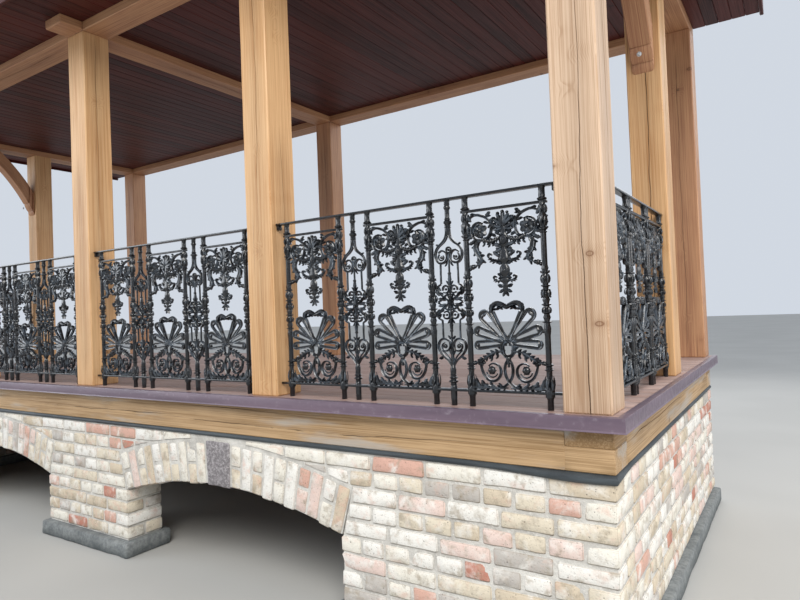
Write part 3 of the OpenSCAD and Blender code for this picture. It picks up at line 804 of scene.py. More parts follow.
def wall_row(shape, course, start, end, face_at, inward, rng, shaper=None, corners=(True, True), fine=False):
    """One course of a wall along the front, one brick thick, from its outer face inwards."""
    low, high = course_span(course)
    stretchers = course % 2 == 0
    for near, far, trim in LEAVES if stretchers else [(0.0, WALL_T, 0.0)]:
        a = start + (trim if corners[0] else 0)
        b = end - (trim if corners[1] else 0)
        if b - a < LEAST_BRICK:
            continue
        for s, e in row_parts(a, b, STRETCHER_L if stretchers else HEADER_W, rng):
            outer = face_at + inward * (near + INSET + abs(rng.normal(0, UNEVEN, 2)[0]))
            y0, y1 = sorted((outer, face_at + inward * (far - INSET)))
            lift = rng.normal(0, UNEVEN)
            size = rng.uniform(-0.003, 0.002)
            cuts = FINE if fine and not near else PLAIN
            brick(shape, (s, y0, low + lift), (e, y1, high + lift + size), rng, cuts, shaper)


def front_wall():
    shape = Shape()
    rng = np.random.default_rng(71)
    for course in range(COURSES):
        low = FOOTING_H + course * COURSE
        spans = front_spans((low + (low + COURSE)) / 2)
        trim = BRICK_W + JOINT if course % 2 else 0
        for i, (a, b) in enumerate(spans):
            first, last = i == 0, i == len(spans) - 1
            wall_row(shape, course, a + (trim if first else 0), b - (trim if last else 0), FRONT_Y, 1, rng,
                     off_the_arches, (first, last), True)
    return shape


def rear_wall():
    shape = Shape()
    rng = np.random.default_rng(72)
    for course in range(COURSES):
        trim = BRICK_W + JOINT if course % 2 else 0
        wall_row(shape, course, -HALF + trim, HALF - trim, BACK_Y, -1, rng)
    return shape


def side_walls():
    shape = Shape()
    rng = np.random.default_rng(73)
    headers = [(0.0, WALL_T, BRICK_W + JOINT, BRICK_W + JOINT, HEADER_W, PLAIN)]
    stretchers = [(near, far, trim, max(trim, 0.002), STRETCHER_L, PLAIN if near else LENGTHWISE)
                  for near, far, trim in LEAVES]
    for side in (-1, 1):
        for course in range(COURSES):
            low, high = course_span(course)
            for near, far, front_trim, rear_trim, unit, cuts in stretchers if course % 2 else headers:
                x0, x1 = sorted(side * HALF - side * d for d in (near + SIDE_INSET, far - INSET))
                for s, e in row_parts(FRONT_Y + front_trim, BACK_Y - rear_trim, unit, rng):
                    lift = rng.normal(0, UNEVEN)
                    brick(shape, (x0, s, low + lift), (x1, e, high + lift), rng, cuts)
    return shape


ARCH_STEPS = 31


def prism(shape, outline, near, far):
    """Upright plate between two depths with the given outline in x and z."""
    outline = np.asarray(outline)
    n = len(outline)
    front, back = (np.column_stack([outline[:, 0], np.full(n, y), outline[:, 1]]) for y in (near, far))
    order = np.arange(n)
    after = (order + 1) % n
    sides = np.column_stack([order, order + n, after + n, after])
    shape.add(np.concatenate([front, back]), [sides, order[None, :], (order + n)[None, ::-1]])


def arch_curve(cx, radius, way=1):
    """Points over the opening at one radius, from left to right or the other way."""
    return [(cx + radius * math.sin(angle), ARCH_CENTRE_Z + radius * math.cos(angle))
            for angle in np.linspace(-ARCH_HALF * way, ARCH_HALF * way, ARCH_STEPS)]


def mortar_body():
    """The bed joints and core behind the brick faces."""
    shape = Shape()
    skin = MORTAR_DEPTH
    low, high = FOOTING_H - MORTAR_LAP, BRICK_TOP
    back = ARCH_R + RING_DEPTH
    outline = [(-HALF + skin, low)]
    for cx in ARCH_XS:
        jamb = ARCH_SPAN / 2 + skin
        outline += [(cx - jamb, low), (cx - jamb, ARCH_SPRING)] + arch_curve(cx, back)
        outline += [(cx + jamb, ARCH_SPRING), (cx + jamb, low)]
    outline += [(HALF - skin, low), (HALF - skin, high), (-HALF + skin, high)]
    prism(shape, outline, FRONT_Y + skin, FRONT_Y + WALL_T - skin)
    for (a, b), near, far in (
            ((-HALF + skin, HALF - skin), BACK_Y - WALL_T + skin, BACK_Y - skin),
            (mirror(-1, HALF - skin, HALF - WALL_T + skin), FRONT_Y + WALL_T - skin, BACK_Y - WALL_T + skin),
            (mirror(1, HALF - skin, HALF - WALL_T + skin), FRONT_Y + WALL_T - skin, BACK_Y - WALL_T + skin)):
        prism(shape, [(a, low), (b, low), (b, high), (a, high)], near, far)
    for cx in ARCH_XS:
        ring = arch_curve(cx, ARCH_R + 0.012) + arch_curve(cx, back + 0.004, -1)
        prism(shape, ring, FRONT_Y + RING_MORTAR_DEPTH, FRONT_Y + WALL_T - RING_MORTAR_DEPTH)
    return shape


def ring_mover(cx):
    """Turns a block built as angle, depth and radius into its place in the arch ring."""
    def move(points):
        angle = points[:, 0] / RING_MIDDLE
        radius = points[:, 2]
        return np.column_stack([cx + radius * np.sin(angle), points[:, 1],
                                ARCH_CENTRE_Z + radius * np.cos(angle)])
    return move


KEY_INSET = 0.001
RING_BRICKS = 10
KEY_GAP = 0.004
HALF_RING_JOINT = 0.0045
HALF_CORE_JOINT = CORE_JOINT / 2
RING_BACK_INSET = 0.002


def voussoirs():
    """Bricks on edge on both sides of each keystone, cut across their height and their depth in turn."""
    shape = Shape()
    rng = np.random.default_rng(74)
    key = KEY_HALF
    pitch = (ARCH_HALF * RING_MIDDLE - key - KEY_GAP) / RING_BRICKS
    for cx in ARCH_XS:
        move = ring_mover(cx)
        for side in (-1, 1):
            for i in range(RING_BRICKS):
                a, b = mirror(side, key + KEY_GAP + i * pitch + HALF_RING_JOINT,
                              key + KEY_GAP + (i + 1) * pitch - HALF_RING_JOINT)
                low = ARCH_R + rng.uniform(-0.001, 0.013)
                high = ARCH_R + RING_DEPTH - rng.uniform(0.006, 0.016)
                near, far = FRONT_Y + rng.uniform(0.001, 0.005), FRONT_Y + WALL_T - RING_BACK_INSET
                if (i + (side > 0)) % 2:
                    cut = (low + high) / 2 + rng.uniform(-0.008, 0.008)
                    for r0, r1 in ((low, cut - HALF_CORE_JOINT), (cut + HALF_CORE_JOINT, high)):
                        brick(shape, (a, near, r0), (b, far, r1), rng, (3, 5, 4), move)
                else:
                    for y0, y1 in ((near, near + 0.124), (near + 0.134, far)):
                        brick(shape, (a, y0, low), (b, y1, high), rng, (3, 3, 6), move)
    return shape


def keystones():
    shape = Shape()
    rng = np.random.default_rng(75)
    key = KEY_HALF - KEY_INSET
    for cx in ARCH_XS:
        brick(shape, (-key, FRONT_Y + KEY_INSET, ARCH_R - KEY_INSET),
              (key, FRONT_Y + WALL_T - RING_BACK_INSET, ARCH_R + RING_DEPTH), rng, (6, 7, 9), ring_mover(cx))
    return shape


front_wall().piece("front_wall_bricks", wall_brick, "brick", ["front_plinth_wall"], 50)
rear_wall().piece("rear_wall_bricks", wall_brick, "brick", ["rear_plinth_wall"], 50)
side_walls().piece("side_wall_bricks", wall_brick, "brick", ["side_plinth_walls"], 50)
mortar_body().piece("mortar_body", mortar, "brick", [], 60)
voussoirs().piece("arch_voussoirs", ring_brick, "arch_brick", ["arch_rings"], 50)
keystones().piece("arch_key_blocks", dark_brick, "dark_brick", ["arch_keystones"], 50)


# Felt, sills and deck

SHEET_LAP = 0.0035
HALVING_LAP = 0.004
FELT_CORE_INSET = 0.002
ROLL_FROM_CORNER = 0.14
ROLL_REACH = 0.42
SHEET_L, SHEET_OVERLAP = 2.05, 0.06


def ribbon(shape, path, section):
    """Carries a section along a level path. The section is a function of the run length that gives points as
    (outwards, upwards); outwards is to the right of the path."""
    path = np.asarray(path, dtype=float)
    steps = np.linalg.norm(np.diff(path, axis=0), axis=1)
    run = np.concatenate([[0], np.cumsum(steps)])
    heads = np.diff(path, axis=0) / steps[:, None]
    before = np.vstack([heads[:1], heads])
    mean = before + np.vstack([heads, heads[-1:]])
    mean /= np.linalg.norm(mean, axis=1, keepdims=True)
    out = np.column_stack([mean[:, 1], -mean[:, 0]])
    stretch = 1 / np.maximum(0.3, (before * mean).sum(axis=1))
    rows = []
    for i in range(len(path)):
        profile = np.asarray(section(run[i]))
        flat = path[i] + out[i] * (profile[:, :1] * stretch[i])
        rows.append(np.column_stack([flat, profile[:, 1]]))
    k, n = len(rows), len(rows[0])
    start, after = tube_links(k, n)
    sides = np.column_stack([start, start + n, after + n, after])
    shape.add(np.concatenate(rows), [sides, np.arange(n)[None, :], (np.arange(n) + (k - 1) * n)[None, ::-1]])


def outline_path(grow, step):
    """Left rear corner, along the left side, the front and the right side to the right rear corner."""
    x, y0, y1 = HALF + grow, FRONT_Y - grow, BACK_Y
    corners = [(-x, y1), (-x, y0), (x, y0), (x, y1)]
    path = []
    for (ax, ay), (bx, by) in zip(corners, corners[1:]):
        count = max(1, int(round(math.hypot(bx - ax, by - ay) / step)))
        for i in range(count):
            path.append((ax + (bx - ax) * i / count, ay + (by - ay) * i / count))
    return path + [corners[-1]]


def felt_section(run):
    """Doubled felt whose edge hangs out a little, rolled up thick towards the right front corner."""
    roll = DEPTH + 2 * HALF - ROLL_FROM_CORNER
    near = min(1.0, max(0.0, 1 - abs(run - roll) / ROLL_REACH))
    near = near * near * (3 - 2 * near)
    wave = math.sin(run * 2.1) * 0.0016 + math.sin(run * 7.3 + 1) * 0.0009
    out = 0.004 + 0.011 * near + wave
    low = BRICK_TOP - 0.001 - 0.017 * near + wave * 0.8
    top = SILL_Z - 0.001
    r = (top - low) / 2
    mid = (top + low) / 2
    turn = [(out - r + r * math.cos(a), mid + r * math.sin(a))
            for a in np.linspace(-math.pi / 2, math.pi / 2, 9)]
    return [(-0.05, BRICK_TOP + 0.001), (-0.02, BRICK_TOP + 0.0005)] + turn + [(-0.05, top)]


def felt_piece():
    shape = Shape()
    ribbon(shape, outline_path(0.0, 0.075), felt_section)
    x, y0, y1 = HALF - FELT_CORE_INSET, FRONT_Y + FELT_CORE_INSET, BACK_Y - FELT_CORE_INSET
    inner_x, inner_y0, inner_y1 = HALF - POST, FRONT_Y + POST, BACK_Y - POST
    for low, high in (((-x, y0), (x, inner_y0)), ((-x, inner_y1), (x, y1)),
                      ((-x, inner_y0), (-inner_x, inner_y1)), ((inner_x, inner_y0), (x, inner_y1))):
        points, faces, _ = rounded_block((*low, BRICK_TOP), (*high, SILL_Z), 0.004, (12, 12, 3))
        shape.add(points, faces)
    return shape


# Sills, halved at the corners: the front and rear ones in their lower half, the side ones in their upper half

SILL_HALF_Z = SILL_Z + POST / 2


def front_sill():
    shape = Shape()
    checks = [(2, -0.22, 0.0042, 0.016, 0.02, 0.40), (2, 0.10, 0.0048, 0.018, 0.37, 0.66),
              (2, 0.42, 0.003, 0.010, 0.1, 0.3), (2, 0.30, 0.0042, 0.016, 0.63, 0.97),
              (2, -0.55, 0.003, 0.010, 0.62, 0.86)]
    beam(shape, (-HALF + POST, FRONT_Y, SILL_Z), (HALF - POST, FRONT_Y + POST, FLOOR_Z), 0, 101, checks,
         heart=(0.03, -0.02))
    for side in (-1, 1):
        a, b = mirror(side, HALF - POST - HALVING_LAP, HALF)
        beam(shape, (a, FRONT_Y, SILL_Z), (b, FRONT_Y + POST, SILL_HALF_Z), 0, 103 + side, heart=(0.03, 0.03))
    return shape


def side_sills():
    shape = Shape()
    for side in (-1, 1):
        a, b = mirror(side, HALF - POST, HALF)
        outer = 1 if side > 0 else 3
        beam(shape, (a, FRONT_Y + POST, SILL_Z), (b, BACK_Y - POST, FLOOR_Z), 1, 107 + side,
             [(outer, 0.1, 0.006, 0.018, 0.02, 0.6), (outer, -0.35, 0.005, 0.014, 0.5, 0.98)],
             heart=(0.02, 0.02))
        for y0, y1 in ((FRONT_Y, FRONT_Y + POST + HALVING_LAP), (BACK_Y - POST - HALVING_LAP, BACK_Y)):
            beam(shape, (a, y0, SILL_HALF_Z), (b, y1, FLOOR_Z), 1, 111 + side, heart=(-0.03, 0.03), tint=0.8)
    return shape


def rear_sill():
    shape = Shape()
    beam(shape, (-HALF + POST, BACK_Y - POST, SILL_Z), (HALF - POST, BACK_Y, FLOOR_Z), 0, 114,
         [(0, 0.2, 0.005, 0.015, 0.1, 0.8)])
    for side in (-1, 1):
        a, b = mirror(side, HALF - POST - HALVING_LAP, HALF)
        beam(shape, (a, BACK_Y - POST, SILL_Z), (b, BACK_Y, SILL_HALF_Z), 0, 116 + side)
    return shape


DECK_BOARD_W = 0.1422
JOINT_ZONE = 1.6
BUTT_GAP = 0.0012
EDGE_GAP = 0.0014


def deck():
    """Boards along the front, each in two lengths that meet somewhere near the middle."""
    shape = Shape()
    rng = np.random.default_rng(77)
    x = HALF + DECK_OVER - SHEET_LAP
    y = FRONT_Y - DECK_OVER + SHEET_LAP
    count = int(round((BACK_Y - y) / DECK_BOARD_W))
    pitch = (BACK_Y - y) / count
    for i in range(count):
        joint = rng.uniform(-JOINT_ZONE, JOINT_ZONE)
        for a, b in ((-x, joint - BUTT_GAP), (joint + BUTT_GAP, x)):
            lift = rng.uniform(0, 0.0008)
            near, far = y + i * pitch + EDGE_GAP, y + (i + 1) * pitch - EDGE_GAP
            beam(shape, (a, near, FLOOR_Z), (b, far, DECK_Z - lift), 0, 300 + i * 3 + int(a > -x), edge=0.0025,
                 step=0.4, heart=(rng.uniform(-0.04, 0.04), -0.07), rough=0.0003, tint=rng.uniform(0.15, 0.65))
    return shape


def flashing_section(run):
    """Sheet over the deck edge: a flat top leg, a rounded fold, the face and a drip at its foot."""
    lap = 0.0009 if run % SHEET_L < SHEET_OVERLAP else 0.0
    wave = math.sin(run * 3.1) * 0.0005 + math.sin(run * 8.7) * 0.0003
    o = 0.0022 + lap + wave
    top = DECK_Z + 0.0012 + lap
    low = DECK_Z - 0.055
    return [(o - 0.004, top - 0.0022), (o - 0.0018, top - 0.005), (o - 0.0012, low + 0.005), (o + 0.0028, low),
            (o + 0.0035, low + 0.001), (o, low + 0.007), (o, top - 0.004), (o - 0.0012, top - 0.001),
            (o - 0.004, top), (-0.030, top), (-0.030, top - 0.0015)]


def flashing_strip():
    shape = Shape()
    ribbon(shape, outline_path(DECK_OVER - SHEET_LAP, 0.10), flashing_section)
    return shape


felt_piece().piece("felt_strip_rolled", felt, "felt", ["felt_strip"])
front_sill().piece("front_sill_beam", sill_timber, "sill_timber", ["front_sill"])
side_sills().piece("side_sill_beams", sill_timber, "sill_timber", ["side_sills"])
rear_sill().piece("rear_sill_beam", sill_timber, "hidden_timber", ["rear_sill"])
deck().piece("deck_boards", deck_timber, "deck_timber", ["deck_floor"])
flashing_strip().piece("deck_edge_flashing", flashing, "flashing", ["front_flashing", "side_flashings"], 30)


# Posts. On a post, face 0 looks to +x, 1 to +y, 2 to -x and 3 to -y, and shares run upwards

CHECK_NARROWING = 0.55
FRONT_POST_CHECKS = (
    [(3, 0.1, 0.006, 0.02, 0.0, 0.8), (2, -0.1, 0.006, 0.02, 0.1, 0.9)],
    [(3, -0.1, 0.007, 0.022, 0.1, 1.02), (0, 0.2, 0.006, 0.018, 0.0, 0.7)],
    [(3, 0.15, 0.006, 0.020, 0.0, 0.66), (0, -0.1, 0.006, 0.018, 0.2, 1.02)],
    [(3, 0.05, 0.009, 0.026, 0.0, 1.02), (0, 0.0, 0.006, 0.018, 0.0, 0.6)],
    [(3, 0.12, 0.008, 0.026, -0.1, 1.02), (0, 0.1, 0.006, 0.020, 0.0, 0.9), (2, 0.0, 0.006, 0.018, 0.1, 0.8)])
SIDE_POST_CHECKS = (
    [(3, -0.1, 0.006, 0.02, 0.0, 0.9), (2, 0.2, 0.006, 0.02, 0.1, 0.9)],
    [(3, 0.1, 0.007, 0.022, 0.0, 0.9), (0, -0.1, 0.006, 0.02, 0.1, 1.02)])
OUTER_XS = (POST_XS[0], POST_XS[-1])
FULL_XS = (POST_XS[0], 0.0, POST_XS[-1])


def post(shape, x, y, seed, checks, tint=0.4):
    checks = [(face, across, width * CHECK_NARROWING, depth, start, end)
              for face, across, width, depth, start, end in checks]
    beam(shape, (x - POST / 2, FRONT_Y + y, DECK_Z), (x + POST / 2, FRONT_Y + y + POST, PLATE_Z), 2, seed,
         checks, edge=0.006, step=0.04, tint=tint)


def front_posts():
    """The last post, out in the rain, is the greyest."""
    shape = Shape()
    for i, (x, checks) in enumerate(zip(POST_XS, FRONT_POST_CHECKS)):
        post(shape, x, 0, 201 + i, checks, 0.9 if x == POST_XS[-1] else 0.4)
    return shape


def side_posts():
    shape = Shape()
    for i, (x, checks) in enumerate(zip(OUTER_XS, SIDE_POST_CHECKS)):
        post(shape, x, SIDE_POST_Y, 206 + i, checks)
    return shape


def wall_posts():
    shape = Shape()
    for i, x in enumerate(FULL_XS):
        post(shape, x, WALL_POST_Y, 208 + i, [(3, 0.1 - 0.15 * i, 0.006, 0.02, 0.0, 0.95)])
    return shape


# Plates, halved over each other; the cross beams run through in their lower half

PLATE_HALF_Z = PLATE_Z + POST / 2


def front_plate():
    shape = Shape()
    checks = [(2, 0.1, 0.006, 0.018, 0.05, 0.7), (3, -0.2, 0.005, 0.014, 0.3, 0.95)]
    for i, (a, b) in enumerate(zip(FULL_XS, FULL_XS[1:])):
        beam(shape, (a + POST / 2, FRONT_Y, PLATE_Z), (b - POST / 2, FRONT_Y + POST, ROOF_Z), 0, 221 + i,
             checks, heart=(0.01, -0.02))
    for i, x in enumerate(FULL_XS):
        a = x - POST / 2 - (HALVING_LAP if i else 0)
        b = x + POST / 2 + (HALVING_LAP if i < 2 else 0)
        beam(shape, (a, FRONT_Y, PLATE_HALF_Z), (b, FRONT_Y + POST, ROOF_Z), 0, 224 + i, heart=(0.01, 0.04))
    return shape


def cross_beams(*places):
    """Beams from front to back over the posts at these places, each with its seed."""
    shape = Shape()
    checks = [(0, 0.1, 0.006, 0.018, 0.1, 0.9), (2, -0.15, 0.005, 0.016, 0.15, 0.8),
              (3, 0.1, 0.005, 0.014, 0.2, 0.9)]
    for x, seed in places:
        a, b = x - POST / 2, x + POST / 2
        beam(shape, (a, FRONT_Y + POST, PLATE_Z), (b, BACK_Y, ROOF_Z), 1, seed, checks, heart=(0.0, 0.02))
        beam(shape, (a, FRONT_Y - HALVING_LAP, PLATE_Z), (b, FRONT_Y + POST + HALVING_LAP, PLATE_HALF_Z), 1,
             seed + 1, heart=(0.03, 0.02))
        beam(shape, (a, FRONT_Y - BEAM_NOSE, PLATE_Z), (b, FRONT_Y, ROOF_Z), 1, seed + 2, edge=0.008,
             heart=(0.0, 0.02))
    return shape


def rear_plate():
    shape = Shape()
    for side in (-1, 1):
        a, b = mirror(side, POST / 2, HALF - POST)
        beam(shape, (a, FRONT_Y + WALL_POST_Y, PLATE_Z), (b, BACK_Y, ROOF_Z), 0, 245 + side,
             [(2, 0.1, 0.005, 0.014, 0.1, 0.8)])
    return shape


front_posts().piece("front_timber_posts", post_timber, "post_timber", ["front_posts"], 30)
side_posts().piece("side_timber_posts", post_timber, "post_timber", ["side_posts"], 30)
wall_posts().piece("wall_timber_posts", shaded_pine, "post_timber", ["wall_posts"], 30)
front_plate().piece("front_plate_beam", shaded_pine, "post_timber", ["front_plate"], 30)
cross_beams((OUTER_XS[0], 231), (OUTER_XS[1], 235)).piece(
    "side_plate_beams", shaded_pine, "post_timber", ["side_plates"], 30)
cross_beams((0.0, 239)).piece("centre_tie_beam_timber", shaded_pine, "post_timber", ["centre_tie_beam"], 30)
rear_plate().piece("rear_plate_beam", shaded_pine, "post_timber", ["rear_plate"], 30)


# Braces

BRACE_H, BRACE_REACH, BRACE_D, BRACE_W = 0.700, 0.560, 0.120, 0.120
BRACE_SAG = 0.060
BRACE_BEVEL = 0.007
BRACE_GROOVES = {0: 0.006, 0.012: 0.002, 0.03: 0, 0.045: 0.003, 0.055: 0.014, 0.065: 0.003, 0.08: 0, 0.13: 0,
                 0.145: 0.003, 0.155: 0.014, 0.165: 0.003, 0.18: 0, 0.22: 0}
BOLT_OUT, BOLT_DOWN = 0.0925, 0.617
BOLT_R = 0.009


def brace(shape, x, y, direction, seed):
    """Curved brace from a post's face up to the side plate, with a moulded foot."""
    chord = math.hypot(BRACE_REACH, BRACE_H)
    r = (chord * chord / 4 + BRACE_SAG * BRACE_SAG) / (2 * BRACE_SAG)
    slope = math.atan2(BRACE_H, BRACE_REACH)
    cy = BRACE_REACH / 2 + (r - BRACE_SAG) * math.sin(slope)
    cz = -BRACE_H / 2 - (r - BRACE_SAG) * math.cos(slope)
    outer_r = r + BRACE_D
    inner = (math.atan2(-BRACE_H - cz, -cy), math.atan2(-cz, BRACE_REACH - cy))
    foot_z = cz + math.sqrt(outer_r ** 2 - cy ** 2)
    head_y = cy - math.sqrt(outer_r ** 2 - cz ** 2)
    outer = (math.atan2(foot_z - cz, -cy), math.atan2(-cz, head_y - cy))
    cuts = list(BRACE_GROOVES.items()) + [(t, 0.0) for t in np.linspace(0.28, 0.98, 13)] + [(1.0, 0.002)]
    rows, grains = [], []
    rng = np.random.default_rng(seed)
    offset = rng.uniform(0, 20)
    for t, sink in cuts:
        # Angles on the inner and the outer curve, and the points there
        ai, ao = (a + (b - a) * t for a, b in (inner, outer))
        near = np.array([cy + r * math.cos(ai), cz + r * math.sin(ai)])
        far = np.array([cy + outer_r * math.cos(ao), cz + outer_r * math.sin(ao)])
        across = (far - near) / np.linalg.norm(far - near)
        near = near + across * sink
        low, high = near + across * BRACE_BEVEL, far - across * BRACE_BEVEL
        side = BRACE_W / 2 - sink
        for p, v in ((near, -side + BRACE_BEVEL), (low, -side), (high, -side), (far, -side + BRACE_BEVEL),
                     (far, side - BRACE_BEVEL), (high, side), (low, side), (near, side - BRACE_BEVEL)):
            rows.append((x + v, y + direction * p[0], PLATE_Z + p[1]))
            grains.append((t * chord + offset, v + 0.01, (np.linalg.norm(p - near) - 0.05)))
    faces = tube_faces(len(cuts), 8)
    if direction < 0:
        faces = [group[:, ::-1] for group in faces]
    shape.add(rows, faces, rng.uniform(0.3, 0.7), np.array(grains))


def bolt(shape, centre, way, radius=BOLT_R, height=BOLT_R, n=12):
    """Domed bolt head over a washer, standing out along y."""
    rings = [(radius * 1.5, 0.0), (radius * 1.5, 0.002), (radius, 0.0022), (radius * 0.97, height * 0.6),
             (radius * 0.8, height * 0.9), (radius * 0.35, height)]
    points = [np.asarray(centre) + np.array([-way * r * math.cos(a), way * h, r * math.sin(a)])
              for r, h in rings for a in np.linspace(0, 2 * math.pi, n, endpoint=False)]
    sides, _, top = tube_faces(len(rings), n)
    shape.add(points, [sides, top])


braces = Shape()
bolts = Shape()
for i, x in enumerate(OUTER_XS):
    for y, way, seed in ((FRONT_Y + POST, 1, 251 + i), (FRONT_Y + SIDE_POST_Y, -1, 253 + i)):
        brace(braces, x, y, way, seed)
        bolt(bolts, (x, y + way * BOLT_OUT, PLATE_Z - BOLT_DOWN), way)
braces.piece("curved_braces", shaded_pine, "post_timber", ["side_braces"], 25)
bolts.piece("brace_bolts", zinc, "iron", [], 30)


# Ceiling and eaves

BOARD_W = 0.096
HALF_BOARD_GAP = 0.0004
REACH = HALF + EAVES - FASCIA_T
FASCIA_Z = ROOF_Z - FASCIA_H


def board_run(shape, x0, x1, y0, y1, seed):
    """Boards along y with a V joint between neighbours."""
    count = int(round((x1 - x0) / BOARD_W))
    width = (x1 - x0) / count
    rng = np.random.default_rng(seed)
    for i in range(count):
        a, b = x0 + i * width, x0 + (i + 1) * width
        beam(shape, (a + HALF_BOARD_GAP, y0, CEILING_Z), (b - HALF_BOARD_GAP, y1, CEILING_Z + BOARD_T), 1,
             seed * 100 + i, edge=0.0035, step=0.65, heart=(rng.uniform(0.03, 0.08), rng.uniform(-0.04, 0.04)),
             rough=0.0003, tint=rng.uniform(0.1, 0.7))


def ceiling():
    shape = Shape()
    for side in (-1, 1):
        board_run(shape, *mirror(side, POST / 2, HALF - POST), FRONT_Y + POST, FRONT_Y + WALL_POST_Y, 6 + side)
    return shape


def front_soffit():
    """Boards in front of the plate, shorter in front of the noses of the cross beams."""
    shape = Shape()
    edges = [-REACH] + [x + side * POST / 2 for x in FULL_XS for side in (-1, 1)] + [REACH]
    for i, (a, b) in enumerate(zip(edges, edges[1:])):
        end = FRONT_Y - (BEAM_NOSE if i % 2 else 0.0)
        board_run(shape, a, b, FRONT_Y - EAVES + FASCIA_T, end, 10 + i)
    return shape


def side_soffits():
    shape = Shape()
    for side in (-1, 1):
        board_run(shape, *mirror(side, HALF, REACH), FRONT_Y, BACK_Y, 21 + side)
    return shape


def front_fascia():
    shape = Shape()
    x, y = HALF + EAVES, FRONT_Y - EAVES
    beam(shape, (-x, y, FASCIA_Z), (x, y + FASCIA_T, ROOF_Z), 0, 271, heart=(0.06, 0.0), step=0.15)
    return shape


def side_fascias():
    shape = Shape()
    for side in (-1, 1):
        a, b = mirror(side, REACH, HALF + EAVES)
        beam(shape, (a, FRONT_Y - EAVES + FASCIA_T, FASCIA_Z), (b, BACK_Y, ROOF_Z), 1, 273 + side,
             heart=(0.0, 0.06), step=0.15)
    return shape


ceiling().piece("ceiling_boarding", ceiling_timber, "ceiling_timber", ["ceiling_boards"], 25)
front_soffit().piece("front_soffit_boards", ceiling_timber, "ceiling_timber", ["front_soffit"], 25)
side_soffits().piece("side_soffit_boards", ceiling_timber, "ceiling_timber", ["side_soffits"], 25)
front_fascia().piece("front_eaves_board", ceiling_timber, "ceiling_timber", ["front_fascia"], 30)
side_fascias().piece("side_eaves_boards", ceiling_timber, "ceiling_timber", ["side_fascias"], 30)


# Cast iron, drawn in millimetres: x along the rail, y up from the deck, with relief on both faces

MM = 1000
HALF_T = 6.5
FOOT_Z, FOOT_TOP = 62.0, 72.0
HEAD_Z, HEAD_TOP = 824.0, 834.0
RAIL_UNDER = RAIL_H - RAIL_T
PALMETTE_Z = 271.0
KEYHOLE_Z = 241.0
ROSETTE_Z = 447.0
MEDALLION_Z = 695.0
SHAFT_R, BASE_R, BULB_R = 12.0, 19.5, 20.5
PANEL_HALF = PANEL_W / 2
NARROW_HALF = 88.0

# Sections of ribs as (across, outwards), in shares of half the width and of the rise
ROUND = [(math.cos(a), math.sin(a)) for a in np.linspace(0, 2 * math.pi, 8, endpoint=False)]
GROOVED = [(1.0, 0.0), (0.8, 1.0), (0.4, 0.9), (0.0, 0.45), (-0.4, 0.9), (-0.8, 1.0),
           (-1.0, 0.0), (-0.8, -1.0), (-0.4, -0.9), (0.0, -0.45), (0.4, -0.9), (0.8, -1.0)]
VEINED = [(1.0, 0.0), (0.6, 0.9), (0.15, 0.7), (-0.15, 0.7), (-0.6, 0.9),
          (-1.0, 0.0), (-0.6, -0.9), (-0.15, -0.7), (0.15, -0.7), (0.6, -0.9)]
FOLDED = [(1.0, 0.0), (0.5, 0.95), (-0.5, 0.95), (-1.0, 0.0), (-0.5, -0.95), (0.5, -0.95)]
SLIM = [(1.0, 0.0), (0.7, 1.0), (0.0, 0.5), (-0.7, 1.0), (-1.0, 0.0), (-0.7, -1.0), (0.0, -0.5), (0.7, -1.0)]
RIDGED = [(1.0, 0.0), (0.0, 1.0), (-1.0, 0.0), (0.0, -1.0)]
SLIM_WIDTH = 13


def arc(c, r, a0, a1, steps):
    a = np.radians(np.linspace(a0, a1, steps + 1))
    return np.column_stack([c[0] + r * np.cos(a), c[1] + r * np.sin(a)])


def spiral(c, r0, r1, a0, a1, steps):
    s = np.linspace(0, 1, steps + 1)
    a = np.radians(a0 + (a1 - a0) * s)
    r = r0 + (r1 - r0) * s ** 0.85
    return np.column_stack([c[0] + r * np.cos(a), c[1] + r * np.sin(a)])


def smooth(points, steps=2):
    """Catmull-Rom line through the given points."""
    p = np.asarray(points, dtype=float)
    p = np.vstack([2 * p[0] - p[1], p, 2 * p[-1] - p[-2]])
    out = []
    for a, b, c, d in zip(p, p[1:], p[2:], p[3:]):
        for s in np.linspace(0, 1, steps, endpoint=False):
            out.append(0.5 * (2 * b + (c - a) * s + (2 * a - 5 * b + 4 * c - d) * s ** 2
                              + (3 * b - a - 3 * c + d) * s ** 3))
    out.append(p[-2])
    return np.array(out)


def spread(values, count):
    """A number, or numbers spread evenly, read at so many even steps."""
    if np.size(values) == 1:
        return np.full(count, values)
    return np.interp(np.linspace(0, 1, count), np.linspace(0, 1, len(values)), values)


def run_lengths(path):
    return np.concatenate([[0], np.cumsum(np.linalg.norm(np.diff(path, axis=0), axis=1))])


def sweep(shape, path, width, rise=HALF_T, section=ROUND):
    """Rib along a drawn path; width and rise are numbers or run along it. Grooves are dusty and ridges carry a
    painted highlight.
    """
    path = np.asarray(path, dtype=float)
    k = len(path)
    width, rise = spread(width, k), spread(rise, k)
    head = np.gradient(path, axis=0)
    head /= np.maximum(1e-9, np.linalg.norm(head, axis=1, keepdims=True))
    side = np.column_stack([-head[:, 1], head[:, 0]])
    section = np.asarray(SLIM if section is GROOVED and width.max() < SLIM_WIDTH else section)
    n = len(section)
    flat = path[:, None, :] + side[:, None, :] * (section[None, :, 0] * width[:, None] / 2)[:, :, None]
    out = section[None, :, 1] * rise[:, None]
    points = np.stack([flat[:, :, 0], out, flat[:, :, 1]], axis=2).reshape(-1, 3)
    across, outwards = np.abs(section[:, 0]), np.abs(section[:, 1])
    hollow = np.where((across < 0.3) & (outwards < 0.8), 1.0, 0.0)
    # Grooves get dust; ridges get a painted highlight, marked by negative values
    ridge, highlight_level = (0.95, -1.0) if n in (8, 12) else (0.84, -0.35)
    hollow = np.where(outwards > ridge, highlight_level, hollow)
    shape.add(points, tube_faces(k, n), shade=np.tile(hollow, k))


